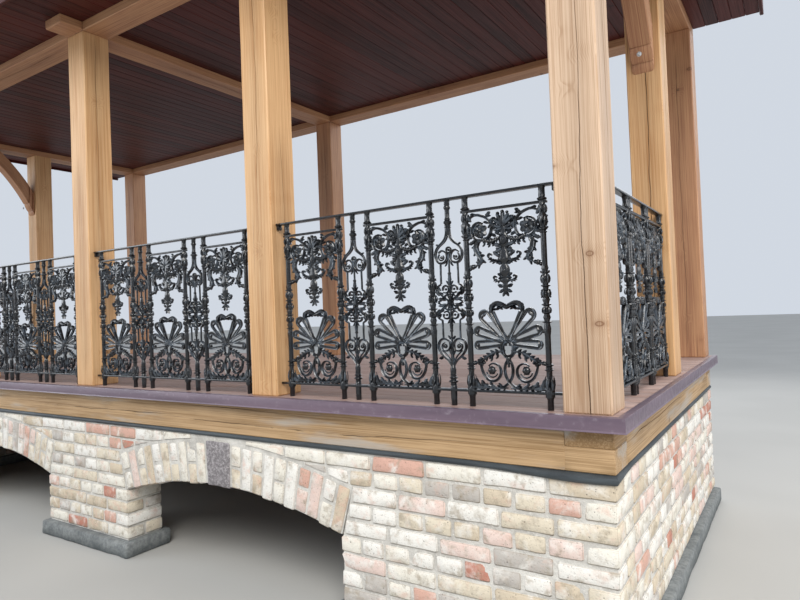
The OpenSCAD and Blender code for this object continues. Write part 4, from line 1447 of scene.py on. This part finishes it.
def scroll(shape, path, width, rise):
    """Rib with a groove along both of its faces."""
    sweep(shape, path, width, rise, GROOVED)


def leaf(shape, pos, angle, length, width, rise=HALF_T, curl=0.0, lobes=0, sharp=False):
    """Veined leaf growing from pos; it may curl sideways and have a lobed edge."""
    steps = 3 if length < 27 else 4 if length < 45 else 6
    s = np.linspace(0, 1, steps + 1)
    bend = np.radians(angle + curl * (s - 0.3))
    step = length / steps
    x = pos[0] + np.concatenate([[0], np.cumsum(np.cos(bend[:-1]) * step)])
    y = pos[1] + np.concatenate([[0], np.cumsum(np.sin(bend[:-1]) * step)])
    if sharp:
        fullness = np.sin(np.pi * np.clip(0.06 + 0.93 * s, 0, 1) ** 0.85) ** 0.8
    else:
        fullness = np.sin(np.pi * (0.1 + 0.79 * s)) ** 0.6
    if lobes:
        fullness = fullness * (0.84 + 0.26 * np.abs(np.sin(lobes * np.pi * s)))
    sweep(shape, np.column_stack([x, y]), np.maximum(width * fullness, 1.2),
          rise * (0.55 + 0.45 * np.sin(np.pi * (0.15 + 0.8 * s))),
          VEINED if length > 60 else FOLDED if length > 33 else RIDGED)


def leaves(shape, rise, lobes, rows, longer=1, wider=1):
    """Leaves drawn as (x, y, angle, length, width, curl)."""
    for x, y, angle, length, width, curl in rows:
        leaf(shape, (x, y), angle, length * longer, width * wider, rise, curl, lobes)


def dome(shape, pos, r, rise):
    """Round boss on both faces."""
    rings, n = (2, 8) if r < 9 else (3, 10) if r < 15 else (3, 12)
    for way in (1, -1):
        points = []
        for i in range(rings + 1):
            a = math.pi / 2 * i / rings
            rad = max(0.02 * r, r * math.cos(a))
            out = way * rise * math.sin(a)
            for b in np.linspace(0, 2 * math.pi, n, endpoint=False):
                points.append((pos[0] + rad * math.cos(b), out, pos[1] + rad * math.sin(b)))
        sides, _, top = tube_faces(rings + 1, n)
        shape.add(points, [group if way < 0 else group[:, ::-1] for group in (sides, top)])


def flower(shape, pos, r, petals, rise=HALF_T + 2, turn=0.0):
    for i in range(petals):
        a = turn + 360 / petals * i
        root = (pos[0] + 0.1 * r * math.cos(math.radians(a)), pos[1] + 0.1 * r * math.sin(math.radians(a)))
        leaf(shape, root, a, r * 0.9, r * 0.85, rise * 0.85, 14)
    dome(shape, pos, r * 0.34, rise + 2.5)


def lathe(shape, profile, n, flutes):
    """Turned casting from (radius, height) points; flutes are (low, high, count, depth) bands of leaf cuts."""
    profile = np.asarray(profile, dtype=float)
    k = len(profile)
    a = np.linspace(0, 2 * math.pi, n, endpoint=False)
    r = profile[:, 0][:, None] * np.ones(n)[None, :]
    z = profile[:, 1]
    hollow = np.zeros((k, n))
    for low, high, count, depth in flutes:
        inside = np.clip(np.minimum(z - low, high - z) / max(1.0, (high - low) * 0.25), 0, 1)
        cut = (0.5 - 0.5 * np.cos(count * a)) ** 2
        r = r - depth * inside[:, None] * cut[None, :]
        hollow = np.maximum(hollow, inside[:, None] * cut[None, :])
    height = np.broadcast_to(z[:, None], (k, n))
    points = np.stack([r * np.cos(a), r * np.sin(a), height], axis=2).reshape(-1, 3)
    shape.add(points, tube_faces(k, n), shade=hollow.ravel() * 0.8)


def moved(shape, part, move, flip=False):
    """Adds a part again in another place, turned inside out where it is mirrored."""
    offset = shape.count
    points = np.concatenate(part.points)
    shape.faces.extend((group[:, ::-1] if flip else group) + offset for group in part.faces)
    shape.points.append(move(points))
    shape.grains.append(move(points))
    shape.tints.extend(part.tints)
    shape.shades.extend(part.shades)
    shape.count += len(points)


def mirrored(shape, part):
    """Adds a part and its mirror image across x = 0."""
    moved(shape, part, lambda p: p)
    moved(shape, part, lambda p: p * np.array([-1, 1, 1]), True)


def bulge(r, low, high, root, steps=4):
    """Round moulding between two heights."""
    return [(root + (r - root) * math.sin(math.pi * s) ** 0.7, low + (high - low) * s)
            for s in np.linspace(0, 1, steps)]


def ruffle(shape, path, width, count, rise=9.0, lean=36, core=0.5):
    """Leafy band: a rib with overlapping leaflets along both edges."""
    width = spread(width, len(path))
    sweep(shape, path, width * core, rise * 0.85, FOLDED)
    run = run_lengths(path)
    for i in range(count):
        s = run[-1] * (i + 0.35) / count
        j = min(len(path) - 2, int(np.searchsorted(run, s)))
        ahead = path[j + 1] - path[j - 1]
        head = math.degrees(math.atan2(ahead[1], ahead[0])) if j else 0.0
        w = np.interp(s, run, width)
        root = (np.interp(s, run, path[:, 0]), np.interp(s, run, path[:, 1]))
        for way in (1, -1):
            leaf(shape, root, head + way * lean, w * 0.95, w * 0.5, rise, way * 34)


def beads(shape, path, r, count, rise):
    """Row of round beads along a drawn path."""
    run = run_lengths(path)
    for i in range(count):
        s = run[-1] * (i + 0.5) / count
        dome(shape, (np.interp(s, run, path[:, 0]), np.interp(s, run, path[:, 1])), r, rise)


# The wide panel

def lobe_rim(angle, length, tip_r, root, width, tip_width):
    """Closed rim of a palmette lobe, dished and much wider at its tip."""
    lean = math.degrees(math.asin((tip_r - root / 2) / length))
    a = np.radians(np.linspace(-90 - lean, 90 + lean, 11))
    tip_w = width + (tip_width - width) * np.sin(np.linspace(0, np.pi, 11)) ** 1.3
    r = tip_r - tip_w / 2
    tip = np.column_stack([length + r * np.cos(a), r * np.sin(a)])
    left = np.linspace((root * 0.3, -root / 2 + 1), tip[0], 4)[:-1]
    right = np.linspace(tip[-1], (root * 0.3, root / 2 - 1), 4)[1:]
    path = np.vstack([left, tip, right])
    turn = math.radians(90 - angle)
    x = path[:, 0] * math.cos(turn) - path[:, 1] * math.sin(turn)
    y = path[:, 0] * math.sin(turn) + path[:, 1] * math.cos(turn)
    widths = [np.linspace(width * 0.8, width, 3), tip_w, np.linspace(width, width * 0.8, 3)]
    return np.column_stack([x, y]), np.concatenate(widths)


def palmette(shape):
    half = Shape()
    z = PALMETTE_Z
    for angle, length, tip_r, tip_width in ((42, 150, 28.5, 32), (70, 137, 24.5, 27), (95, 131, 22, 25)):
        path, widths = lobe_rim(angle, length, tip_r, 20, 16, tip_width)
        scroll(half, path + np.array([0, z]), widths, [5.0, 7.0, 9.5, 7.0, 5.0])
    # Side rib of the middle lobe, rolling over into its heavy leafy top
    side = smooth([(7, z + 12), (28, z + 52), (50, z + 94), (65, z + 124)])
    scroll(half, side, [13, 17, 21, 24], [7, 8, 9, 10])
    top = smooth([(67, z + 118), (70, z + 140), (56, z + 157), (36, z + 160), (16, z + 153), (1, z + 144)])
    sweep(half, top, [15, 20, 22, 22, 21, 18], [8, 9.5, 10.5, 10.5, 10, 9], VEINED)
    leaves(half, 11.5, 2, [(x, z + y, angle, length, width, 34) for x, y, angle, length, width in (
        (66, 124, 100, 34, 16), (64, 142, 140, 32, 17), (50, 154, 168, 32, 17), (28, 157, 196, 30, 16),
        (60, 134, 172, 28, 12), (42, 146, 200, 28, 12), (20, 148, 206, 24, 12), (72, 138, 96, 22, 10))])
    # Tie to the colonnette
    sweep(half, [(147, 313), (152, 313), (160, 313), (PANEL_HALF, 313)], [10, 8.5, 8, 9], [6, 5.5, 5.5, 6])
    dome(half, (152, 313), 8.5, HALF_T + 1.5)
    mirrored(shape, half)
    # Collar that gathers the lobes, with a keyhole in it
    for r, w, rise, section in ((28, 12, 7.5, GROOVED), (21, 8.5, 10, ROUND)):
        head = arc((0, KEYHOLE_Z + 8), r, -8, 188, 16)
        tail = arc((0, KEYHOLE_Z - 8), r * 0.9, 188, 352, 14)
        sweep(shape, np.vstack([head, tail, head[:1]]), w, rise, section)
    leaf(shape, (0, KEYHOLE_Z + 24), 90, 22, 15, 10)
    dome(shape, (0, 203), 12, 10)
    leaf(shape, (0, 212), -90, 36, 19, 9, 0, 2)
    dome(shape, (0, 172), 6.5, 7.5)


def lower_scrolls(shape):
    half = Shape()
    scroll(half, arc((58, 155), 76, 140, 300, 20), [9, 11.5, 12.5, 12.5, 12, 10], [6, 7.5, 8, 8, 7.5, 7])
    ring = smooth([(126, 186), (123, 164), (114, 138), (100, 119), (80, 109), (58, 112), (41, 128), (35, 150),
                   (42, 170), (58, 181), (76, 181), (90, 172)])
    scroll(half, ring, [9, 11, 12.5, 12.5, 12, 11, 8.5, 6], [6, 7.5, 8.5, 8.5, 8, 7.5, 6.5, 5])
    sweep(half, arc((75, 151), 26, 200, 352, 10), [4, 6.5, 7, 5], [5, 6, 6, 5])
    dome(half, (76, 154), 17.5, 11)
    dome(half, (76, 154), 7, 14)
    for a in range(0, 360, 60):
        leaf(half, (76 + 7 * math.cos(math.radians(a)), 154 + 7 * math.sin(math.radians(a))), a, 12, 9, 11.5)
    # Leafy band from the keyhole over to the colonnette
    band = smooth([(15, 236), (38, 232), (62, 228), (86, 216), (106, 202), (118, 194)])
    ruffle(half, band, [14, 22, 24, 24, 22, 18], 6, 9.5)
    leaves(half, 8.5, 0, [(46, 224, -70, 24, 12, 60), (74, 216, -80, 26, 12, 60), (30, 238, 40, 24, 11, -40)])
    flower(half, (122, 190), 19, 6, HALF_T + 3, 20)
    ruffle(half, smooth([(134, 188), (152, 184), (PANEL_HALF, 182)]), [14, 17, 14], 3, 8.5)
    dome(half, (154, 184), 9, 9.5)
    # Acanthus along the bottom bar, curling up at the colonnette
    band = smooth([(8, 82), (40, 80), (80, 81), (118, 84), (150, 90)])
    ruffle(half, band, [14, 20, 24, 26, 24], 6, 9.5, 40, 0.45)
    leaves(half, 9, 2, [(60, 84, 34, 34, 14, 50), (98, 86, 40, 38, 16, 50), (130, 84, 58, 42, 17, 40),
                        (144, 82, 80, 40, 15, 30), (30, 86, 40, 24, 12, 40), (110, 78, 10, 50, 18, 20)])
    mirrored(shape, half)


def upper_scrolls(shape):
    half = Shape()
    ring = smooth([(168, 771), (158, 794), (130, 810), (100, 805), (73, 791), (56, 768), (53, 740), (66, 713),
                   (91, 700), (119, 703), (138, 720), (143, 745), (132, 768), (110, 777), (91, 771)])
    scroll(half, ring, [8, 12, 12.8, 12.8, 12.8, 12.8, 12.5, 12, 11, 7], [5, 7, 7.5, 7.5, 8, 8, 7.5, 7.5, 7, 5])
    sweep(half, arc((105, 741), 27, -130, 110, 12), [4, 7, 8, 7, 4], [5, 7, 7.5, 7, 5])
    flower(half, (104, 741), 32, 6, HALF_T + 4, 35)
    for a in (0, 72, 144, 216, 288):
        leaf(half, (104, 741), a + 70, 17, 9, 11)
    # Leaf sprigs round the ring and towards the colonnette
    leaves(half, 8.5, 2, [
        (146, 784, 40, 30, 14, -50), (150, 770, -4, 26, 13, 40), (146, 752, 24, 28, 13, -50),
        (146, 736, -24, 28, 13, 40), (138, 718, -10, 32, 14, -30), (128, 704, -30, 30, 14, 40),
        (120, 806, 20, 26, 11, -40), (76, 794, 130, 28, 13, 50), (62, 780, 160, 26, 13, -50),
        (54, 762, 200, 22, 12, 40), (54, 744, 150, 22, 12, -40), (60, 722, 200, 26, 12, 40),
        (78, 706, 160, 22, 11, -30), (88, 776, 200, 20, 9, 60), (124, 722, 60, 20, 9, 50)], 1.12, 1.3)
    # Crest: half a fan of leaves and the stems that carry it
    leaves(half, 10, 2, [(4, 754, 68, 54, 20, -34), (7, 752, 44, 52, 20, -46), (9, 748, 16, 46, 18, 36),
                         (8, 742, -8, 36, 14, 40), (54, 800, 20, 24, 12, 50), (48, 762, -30, 24, 12, -50)])
    scroll(half, spiral((37, 780), 17, 5, -140, 250, 14), [6, 9, 9.5, 8, 5], [6, 8.5, 9, 8, 6])
    for x, y, r in ((37, 780, 6), (21, 806, 7), (33, 757, 6), (61, 771, 6.5)):
        dome(half, (x, y), r, 11.5)
    scroll(half, smooth([(6, 742), (24, 736), (40, 742), (50, 756), (58, 772)]), [9, 8.5, 8, 8, 7],
           [7, 7, 7, 6.5, 6])
    dome(half, (36, 752), 7, 8.5)
    # Beaded garland from the medallion
    line = smooth([(20, 706), (36, 696), (58, 692), (80, 697), (98, 706)])
    ruffle(half, line, [18, 22, 24, 22, 18], 5, 9.0)
    beads(half, line, 8.5, 7, 11.5)
    leaves(half, 8.5, 0, [(40, 690, -60, 22, 12, 60), (62, 688, -70, 22, 12, 60), (84, 692, -60, 22, 11, 60)])
    # Leafy pendant in an S, ending in a volute tied to the colonnette
    line = smooth([(102, 702), (119, 691), (127, 670), (121, 648), (109, 631), (101, 616), (107, 602),
                   (122, 597)])
    scroll(half, line, [12, 19, 24, 23, 17, 12, 10, 9], [7, 9, 10, 9.5, 9, 8, 7, 7])
    ruffle(half, line[:22], [20, 27, 29, 26, 20], 6, 10.5, 44, 0.3)
    dome(half, (113, 610), 8.5, 10)
    ruffle(half, smooth([(118, 597), (136, 592), (154, 588), (PANEL_HALF, 586)]), [13, 17, 17, 13], 3, 9)
    dome(half, (144, 590), 11.5, 10.5)
    dome(half, (144, 590), 5, 13)
    leaf(half, (150, 580), -20, 22, 11, 8, -20)
    mirrored(shape, half)
    leaf(shape, (0, 752), 90, 62, 23, 10.5, 0, 3)
    dome(shape, (0, 811), 8, 12)


DROP_FLATNESS = 0.44
DROP = [
    # Acorn and its cap
    (0.6, 466), (5, 470), (10, 478), (14.5, 486), (11, 494), (15.5, 500), (16, 506), (11, 512), (14, 517),
    (25, 522), (28, 527), (23, 534), (12, 539),
    # Lower bulb
    (12.5, 544), (18, 549), (22.5, 558), (23.5, 568), (21.5, 580), (16, 588), (11, 592),
    # Vase
    (12.5, 598), (19, 603), (28, 609), (30, 616), (27, 624), (22.5, 634), (20, 646), (18, 655), (11, 659),
    # Medallion and finial
    (10.5, 664), (14, 669), (19, 676), (22, 686), (23, 696), (22, 706), (18, 715), (13, 720), (14, 727),
    (16, 734), (14, 742), (10, 750), (6, 758)]


def candelabra(shape):
    """Drop of turned bodies, flattened, with a medallion above and leafy wings."""
    body = Shape()
    lathe(body, DROP, 16, [(598, 658, 6, 5), (545, 592, 6, 4), (470, 511, 5, 3.5), (514, 538, 8, 4),
                           (720, 752, 6, 4)])
    moved(shape, body, lambda p: p * np.array([1, DROP_FLATNESS, 1]))
    a = np.linspace(0, 2 * np.pi, 19)
    sweep(shape, np.column_stack([17 * np.cos(a), MEDALLION_Z + 20 * np.sin(a)]), 5, 11.5)
    for z, r, rise in ((MEDALLION_Z, 9, 12.5), (567, 11, 11.5), (616, 8, 13.5)):
        dome(shape, (0, z), r, rise)
    half = Shape()
    ruffle(half, smooth([(22, 612), (38, 606), (54, 609), (67, 621)]), [17, 18, 16, 10], 4, 9)
    ruffle(half, smooth([(20, 527), (32, 523), (48, 530)]), [14, 14, 9], 3, 8.5)
    leaves(half, 8.5, 2, [
        (8, 664, 24, 38, 15, -30), (8, 660, -24, 34, 13, 40), (18, 640, 56, 28, 12, -30),
        (20, 628, 34, 34, 13, 30), (12, 594, 34, 24, 11, 40), (10, 545, -30, 22, 10, 40),
        (10, 538, 40, 28, 11, -40), (8, 502, 14, 26, 12, 40), (8, 490, -34, 24, 11, 30),
        (4, 480, -66, 22, 10, 20), (16, 716, 30, 24, 11, -50), (12, 730, 16, 24, 10, 50)], 1, 1.3)
    scroll(half, spiral((62, 634), 13, 4, -110, 200, 12), [8, 9.5, 8, 5], [6, 8, 8, 6])
    scroll(half, spiral((42, 540), 10, 3.5, -110, 200, 10), [7, 8.5, 7, 4.5], [6, 7.5, 7.5, 6])
    mirrored(shape, half)


LEAF_BULGE = 4.0


def around(part, one, z, r, length, count):
    """Leaves set round a turned part."""
    for i in range(count):
        a = 2 * math.pi * (i + 0.5) / count
        c, s = math.cos(a), math.sin(a)

        def place(p, c=c, s=s):
            out = r + p[:, 1] + LEAF_BULGE * np.sin(np.pi * np.clip((p[:, 2] - z) / length, 0, 1)) - 0.5
            return np.column_stack([out * c + p[:, 0] * s, out * s - p[:, 0] * c, p[:, 2]])
        moved(part, one, place)


def colonnette():
    """Turned column between the bars, leafy at its foot, its bulbs and its head."""
    profile = [(0.5, 0), (12.6, 0), (13.2, 2), (13, 42), (15, 45), (15, 49), (BASE_R, 51), (BASE_R, 60)]
    profile += [(BASE_R, FOOT_TOP + 2), (18.8, 84), (16, 102), (13.6, 120), (12.4, 142), (12.2, 152)]
    profile += bulge(18.5, 155, 163, 12) + bulge(16.5, 165, 171, 11.5) + bulge(19, 173, 185, 11.5)
    profile += [(SHAFT_R, 189), (SHAFT_R, 240), (SHAFT_R, 296), (14, 306), (15.5, 324), (12, 340)]
    profile += bulge(BULB_R, 345, 354, 11.5) + [(12, 358), (16, 368), (12, 379)] + bulge(20, 382, 394, 12)
    profile += [(12, 397), (17, 404), (12, 411)] + bulge(BULB_R, 414, 424, 12)
    profile += [(12, 428), (16.5, 438), (12.5, 447)]
    profile += bulge(BULB_R, 449, 472, 13, 5) + bulge(18.5, 475, 482, 11.5) + [(12, 486)]
    profile += bulge(BULB_R, 489, 499, 12)
    profile += [(12, 502), (17.5, 512), (18.5, 524), (15, 536), (12, 540)] + bulge(BULB_R, 542, 552, 12)
    profile += [(12, 555), (15.5, 563), (13, 572), (SHAFT_R, 578), (SHAFT_R, 640), (SHAFT_R, 700)]
    profile += bulge(16, 704, 712, 11.5) + bulge(18.5, 715, 728, 12)
    profile += [(12, 732), (16, 746), (19, 760), (20, 772), (13, 782)]
    profile += [(15, 790), (18.5, 801), (16, 812), (12.5, 819), (12.5, HEAD_TOP)]
    profile += bulge(BULB_R, HEAD_TOP + 1, HEAD_TOP + 13, 14, 5)
    profile += [(14, HEAD_TOP + 16), (13.6, 866), (13.6, 884), (15.5, RAIL_UNDER)]
    part = Shape()
    lathe(part, profile, 10, [
        (FOOT_TOP + 4, 154, 5, 5), (300, 342, 5, 2.5), (357, 382, 5, 3), (396, 412, 5, 3), (428, 449, 5, 3),
        (450, 472, 5, 4), (504, 540, 5, 3.5), (556, 576, 5, 3), (732, 780, 5, 4.5), (784, 818, 5, 4),
        (HEAD_TOP + 15, 886, 5, 2.2)])
    # Pointed leaves round the bulbs, the foot and the head
    for z, r, length, width in ((FOOT_TOP + 6, 16.5, 56, 15), (384, 15.5, 24, 11), (450, 17, 26, 12),
                                (505, 15, 34, 12), (732, 14, 42, 14), (784, 14.5, 34, 13)):
        one = Shape()
        leaf(one, (0, z), 90, length, width, 2.6, sharp=True)
        around(part, one, z, r, length, 5)
    # Leaf tips that stand out to both sides
    for side in (-1, 1):
        for z, a, length in ((768, 24, 11), (748, -8, 10), (790, 40, 10), (724, 10, 10), (392, 40, 10),
                             (470, 40, 10), (452, -30, 10), (546, 40, 10), (512, 30, 9)):
            leaf(part, (side * 12, z), a if side > 0 else 180 - a, length, 9, 6, side * -40)
    return part


def bar(shape, x0, x1, half_w, z0, z1, soft, cuts):
    """Flat bar along the rail between two heights."""
    points, faces, _ = rounded_block((x0, -half_w, z0), (x1, half_w, z1), soft, cuts)
    shape.add(points, faces)


def wide_casting():
    shape = Shape()
    palmette(shape)
    lower_scrolls(shape)
    upper_scrolls(shape)
    candelabra(shape)
    reach = PANEL_HALF + BASE_R
    bar(shape, -reach, reach, 17, FOOT_Z, FOOT_TOP, 1.6, (8, 3, 3))
    bar(shape, -reach, reach, 10, HEAD_Z, HEAD_TOP, 1.6, (8, 3, 3))
    bar(shape, -reach + 1, reach - 1, 13, HEAD_Z + 6.5, HEAD_Z + 6.5 + 3.2, 1.2, (8, 3, 3))
    column = colonnette()
    for side in (-1, 1):
        moved(shape, column, lambda p, side=side: p + np.array([side * PANEL_HALF, 0, 0]))
    return shape


# The narrow baluster

def heart(half):
    """Half of a heart of two scrolls on a forked stem."""
    ring = smooth([(4, 168), (22, 194), (44, 212), (62, 234), (68, 258), (58, 280), (38, 288), (17, 280),
                   (8, 260), (16, 240), (34, 234), (48, 246), (48, 262), (36, 270)])
    scroll(half, ring, [8, 9.5, 10, 10.5, 11, 11, 10.5, 10, 9, 8, 6, 5],
           [6, 7, 7.5, 7.5, 7.5, 7.5, 7, 6.5, 6, 5])
    sweep(half, smooth([(3, 180), (18, 206), (34, 224), (50, 236)]), [6, 7, 7, 5], [6, 7, 6.5, 5])
    dome(half, (33, 255), 10, 10)
    dome(half, (33, 255), 4.5, 12.5)
    leaves(half, 8, 2, [(44, 210, -24, 24, 14, 40), (4, 216, 62, 26, 12, -30), (8, 284, 60, 20, 11, -40)])


def fork(half, top):
    """Half of the forked stem that hangs from the stub, with its volute."""
    stem = smooth([(x, top - down) for x, down in (
        (5, 124), (6, 146), (13, 166), (27, 182), (45, 195), (60, 212), (66, 232), (62, 254), (48, 270),
        (30, 272), (13, 262), (7, 243), (16, 224), (34, 217), (50, 226))])
    scroll(half, stem, [12, 13, 13, 11.5, 10.5, 10.5, 11, 11, 10.5, 10, 9, 7],
           [9, 8.5, 8, 7.5, 7, 7.5, 7.5, 7.5, 7, 6])
    sweep(half, spiral((36, top - 246), 17, 11, 60, -220, 14), [7.5, 7, 5], [6.5, 6, 5])
    dome(half, (36, top - 247), 7, 9.5)
    leaf(half, (46, top - 194), 20, 16, 11, 8, 30)
    leaf(half, (8, top - 266), -60, 24, 10, 7.5, 40)


def rosette_quarter():
    """Loop, crossing straps and leaves of one quarter of the rosette."""
    quarter = Shape()
    scroll(quarter, arc((20, 56), 16, -20, 320, 18), [7, 9, 9.5, 9.5, 9, 6], [6, 7.5, 8, 8, 7])
    dome(quarter, (20, 56), 6, 9)
    for points, width, rise in (
            ([(64, 62), (56, 46), (42, 32), (24, 18), (3, 4)], [7, 9.5, 10.5, 10, 9], [6, 8, 9, 9, 8]),
            ([(44, 78), (58, 70), (66, 56), (64, 40), (54, 30)], [8, 9, 9.5, 9, 6], [6, 7, 7.5, 7, 6]),
            ([(4, 34), (16, 32), (30, 24), (44, 10), (60, 2)], [7, 8, 9, 9, 8], [7, 8, 8, 8, 7])):
        scroll(quarter, smooth(points), width, rise)
    leaves(quarter, 8.5, 2, [(4, 14, 66, 30, 12, 20), (24, 8, 14, 36, 14, -20), (34, 36, 20, 28, 12, 30),
                             (6, 74, 60, 22, 10, -30), (46, 50, 60, 20, 10, 30)])
    return quarter


def leg_and_stub(shape, top):
    """Cone leg with its turned stem, and the stub under the rail."""
    profile = [(0.5, 0), (12.4, 0), (13, 2), (14.2, 30), (15, FOOT_Z - 4), (15, 80), (13, 84)]
    profile += bulge(15, 86, 93, 12.5) + bulge(BULB_R, 97, 110, 13, 6) + bulge(18, 114, 123, 13, 5)
    profile += bulge(15, 128, 134, 12.5) + [(13, 138), (13, 156), (10, 170), (4, 180), (0.5, 184)]
    lathe(shape, profile, 12, [(4, 82, 7, 2)])
    profile = [(0.5, top - 158), (9, top - 150), (12, top - 136), (12, top - 124)]
    profile += bulge(15.5, top - 121, top - 114, 12) + bulge(14.5, top - 112, top - 107, 12)
    profile += bulge(20, top - 104, top - 88, 13, 6) + bulge(14, top - 84, top - 78, 11.5)
    profile += [(10.5, top - 74), (10.5, top - 42)] + bulge(15, top - 40, top - 22, 11, 6)
    profile += [(12.5, top - 18), (12, top - 8), (14, top)]
    lathe(shape, profile, 12, [(top - 104, top - 88, 6, 2)])


def narrow_casting():
    shape = Shape()
    half = Shape()
    z, top = ROSETTE_Z, RAIL_UNDER
    heart(half)
    for rod in ([(42, 286), (42, 320), (43, z - 78)], [(43, z + 80), (43, z + 120), (42, top - 272)]):
        sweep(half, rod, [9, 8, 9], 6)
    fork(half, top)
    mirrored(shape, half)
    sweep(shape, arc((0, top - 216), 12, 0, 360, 14), 8, 7.5)
    dome(shape, (0, top - 216), 6, 9)
    quarter = rosette_quarter()
    for sx in (1, -1):
        for sz in (1, -1):
            turn, place = np.array([sx, 1, sz]), np.array([0, 0, z])
            moved(shape, quarter, lambda p, turn=turn, place=place: p * turn + place, sx * sz < 0)
    flower(shape, (0, z), 19, 6, HALF_T + 4, 30)
    for rod in ([(0, top - 230), (0, 560), (0, z + 14)], [(0, z - 14), (0, 330), (0, 206)]):
        sweep(shape, rod, [8, 8, 8], 6)
    for y, a, length, width in ((z + 76, 90, 46, 18), (z - 76, -90, 46, 18), (166, 90, 64, 18),
                                (222, 90, 30, 16)):
        leaf(shape, (0, y), a, length, width, 9.5, 0, 3)
    for y in (z + 70, z - 70, z + 124, z - 124):
        dome(shape, (0, y), 8.5, 9)
    leg_and_stub(shape, top)
    clear = NARROW_HALF - BASE_R
    bar(shape, -clear, clear, 17, FOOT_Z, FOOT_TOP, 1.6, (8, 3, 3))
    return shape


# Castings and handrails in their bays

def front_place(x):
    def move(points):
        return points / MM + np.array([x, FRONT_Y + RAIL_INSET, DECK_Z])
    return move


def side_place(side):
    """Places on the left side, -1, or on the right side, 1."""
    def at(y):
        def move(points):
            p = points / MM
            return np.column_stack([side * (HALF - RAIL_INSET) - side * p[:, 1], y + p[:, 0], DECK_Z + p[:, 2]])
        return move
    return at


def row(casting, place, middle, pitch, shares, flip=False):
    """Castings in a row about the middle of a bay."""
    shape = Shape()
    for share in shares:
        moved(shape, casting, place(middle + share * pitch), flip)
    return shape


def handrail(shape, length, move, flip=False):
    """Flat rail with a block under each end."""
    part = Shape()
    half = length / 2
    bar(part, -half, half, 18, RAIL_UNDER, RAIL_H, 2.5, (24, 5, 3))
    for side in (-1, 1):
        a, b = mirror(side, half - 18, half)
        bar(part, a, b, 12, RAIL_UNDER - 24, RAIL_UNDER + 1, 2, (3, 3, 3))
    moved(shape, part, move, flip)


def balustrade():
    wide, narrow = wide_casting(), narrow_casting()
    front_rails, side_rails = Shape(), Shape()
    for bay in range(BAY_COUNT):
        middle = (POST_XS[bay] + POST_XS[bay + 1]) / 2
        name = "bay_%d" % (bay + 1)
        row(wide, front_place, middle, PANEL_PITCH, (-1, 0, 1)).piece(
            name + "_wide_castings", iron, "iron", [name + "_panels"], 42)
        row(narrow, front_place, middle, PANEL_PITCH, (-0.5, 0.5)).piece(
            name + "_narrow_castings", iron, "iron", [name + "_balusters"], 42)
        handrail(front_rails, (BAY - POST) * MM, front_place(middle))
    for side, name in ((-1, "left_side"), (1, "right_side")):
        place, middle = side_place(side), FRONT_Y + SIDE_MIDDLE
        row(wide, place, middle, SIDE_PITCH, (-1, 0, 1), side < 0).piece(
            name + "_wide_castings", iron, "iron", [name + "_panels"], 42)
        handrail(side_rails, (SIDE_POST_Y - POST) * MM, place(middle), side < 0)
    front_rails.piece("front_handrail_bars", iron, "iron", ["front_handrails"], 35)
    side_rails.piece("side_handrail_bars", iron, "iron", ["side_handrails"], 35)


balustrade()


# CAD nodes that stay as they are

def dress(node, material):
    """Gives a CAD node this material alone."""
    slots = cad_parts[node].data.materials
    slots.clear()
    slots.append(material)


dress("rail_lugs", iron)
dress("deck_joists", sawn_y)
dress("ceiling_joists", sawn_x)
dress("eaves_lookouts", sawn_y)


# Floor and light

STUDIO = 60.0
SKY_COLOUR, SKY_POWER = (0.80, 0.86, 0.95, 1), 0.8
# Each light: name, place, target, size, power, colour
LIGHTS = (
    ("key", (6.5, -7.5, 7.5), (0.5, 0, 1.4), (5, 5), 900, (1.0, 0.97, 0.92)),
    ("fill", (-7.5, -6.0, 4.0), (0, 0, 1.6), (6, 4), 320, (0.92, 0.96, 1.0)),
    ("back", (2.0, 8.5, 6.0), (0, 0, 1.5), (6, 4), 220, (1.0, 1.0, 1.0)),
    ("side", (11.0, 1.0, 3.5), (3.0, 0, 0.9), (5, 4), 300, (1.0, 0.99, 0.97)))


def add_floor():
    p = Paint("studio_floor", 0.9, 0.2)
    material = p.done(p.blend(p.noise(p.place(), 0.6, 2), 0.3, 0.7, "b6b5b1", "bcbbb7"))
    mesh = bpy.data.meshes.new("studio_floor")
    mesh.from_pydata([(x * STUDIO, y * STUDIO, 0) for x, y in ((-1, -1), (1, -1), (1, 1), (-1, 1))], [],
                     [(0, 1, 2, 3)])
    mesh.materials.append(material)
    obj = bpy.data.objects.new("studio_floor", mesh)
    bpy.context.collection.objects.link(obj)


def add_area(name, place, target, size, power, colour):
    data = bpy.data.lights.new(name, "AREA")
    data.shape = "RECTANGLE"
    data.size, data.size_y = size
    data.energy = power
    data.color = colour
    obj = bpy.data.objects.new(name, data)
    place, target = Vector(place), Vector(target)
    obj.location = place
    obj.rotation_euler = (target - place).to_track_quat("-Z", "Y").to_euler()
    bpy.context.collection.objects.link(obj)


def add_light():
    world = bpy.data.worlds.new("studio")
    world.use_nodes = True
    background = world.node_tree.nodes["Background"]
    background.inputs[0].default_value = SKY_COLOUR
    background.inputs[1].default_value = SKY_POWER
    bpy.context.scene.world = world
    for light in LIGHTS:
        add_area(*light)


add_floor()
add_light()
bpy.context.scene.view_settings.view_transform = "Standard"
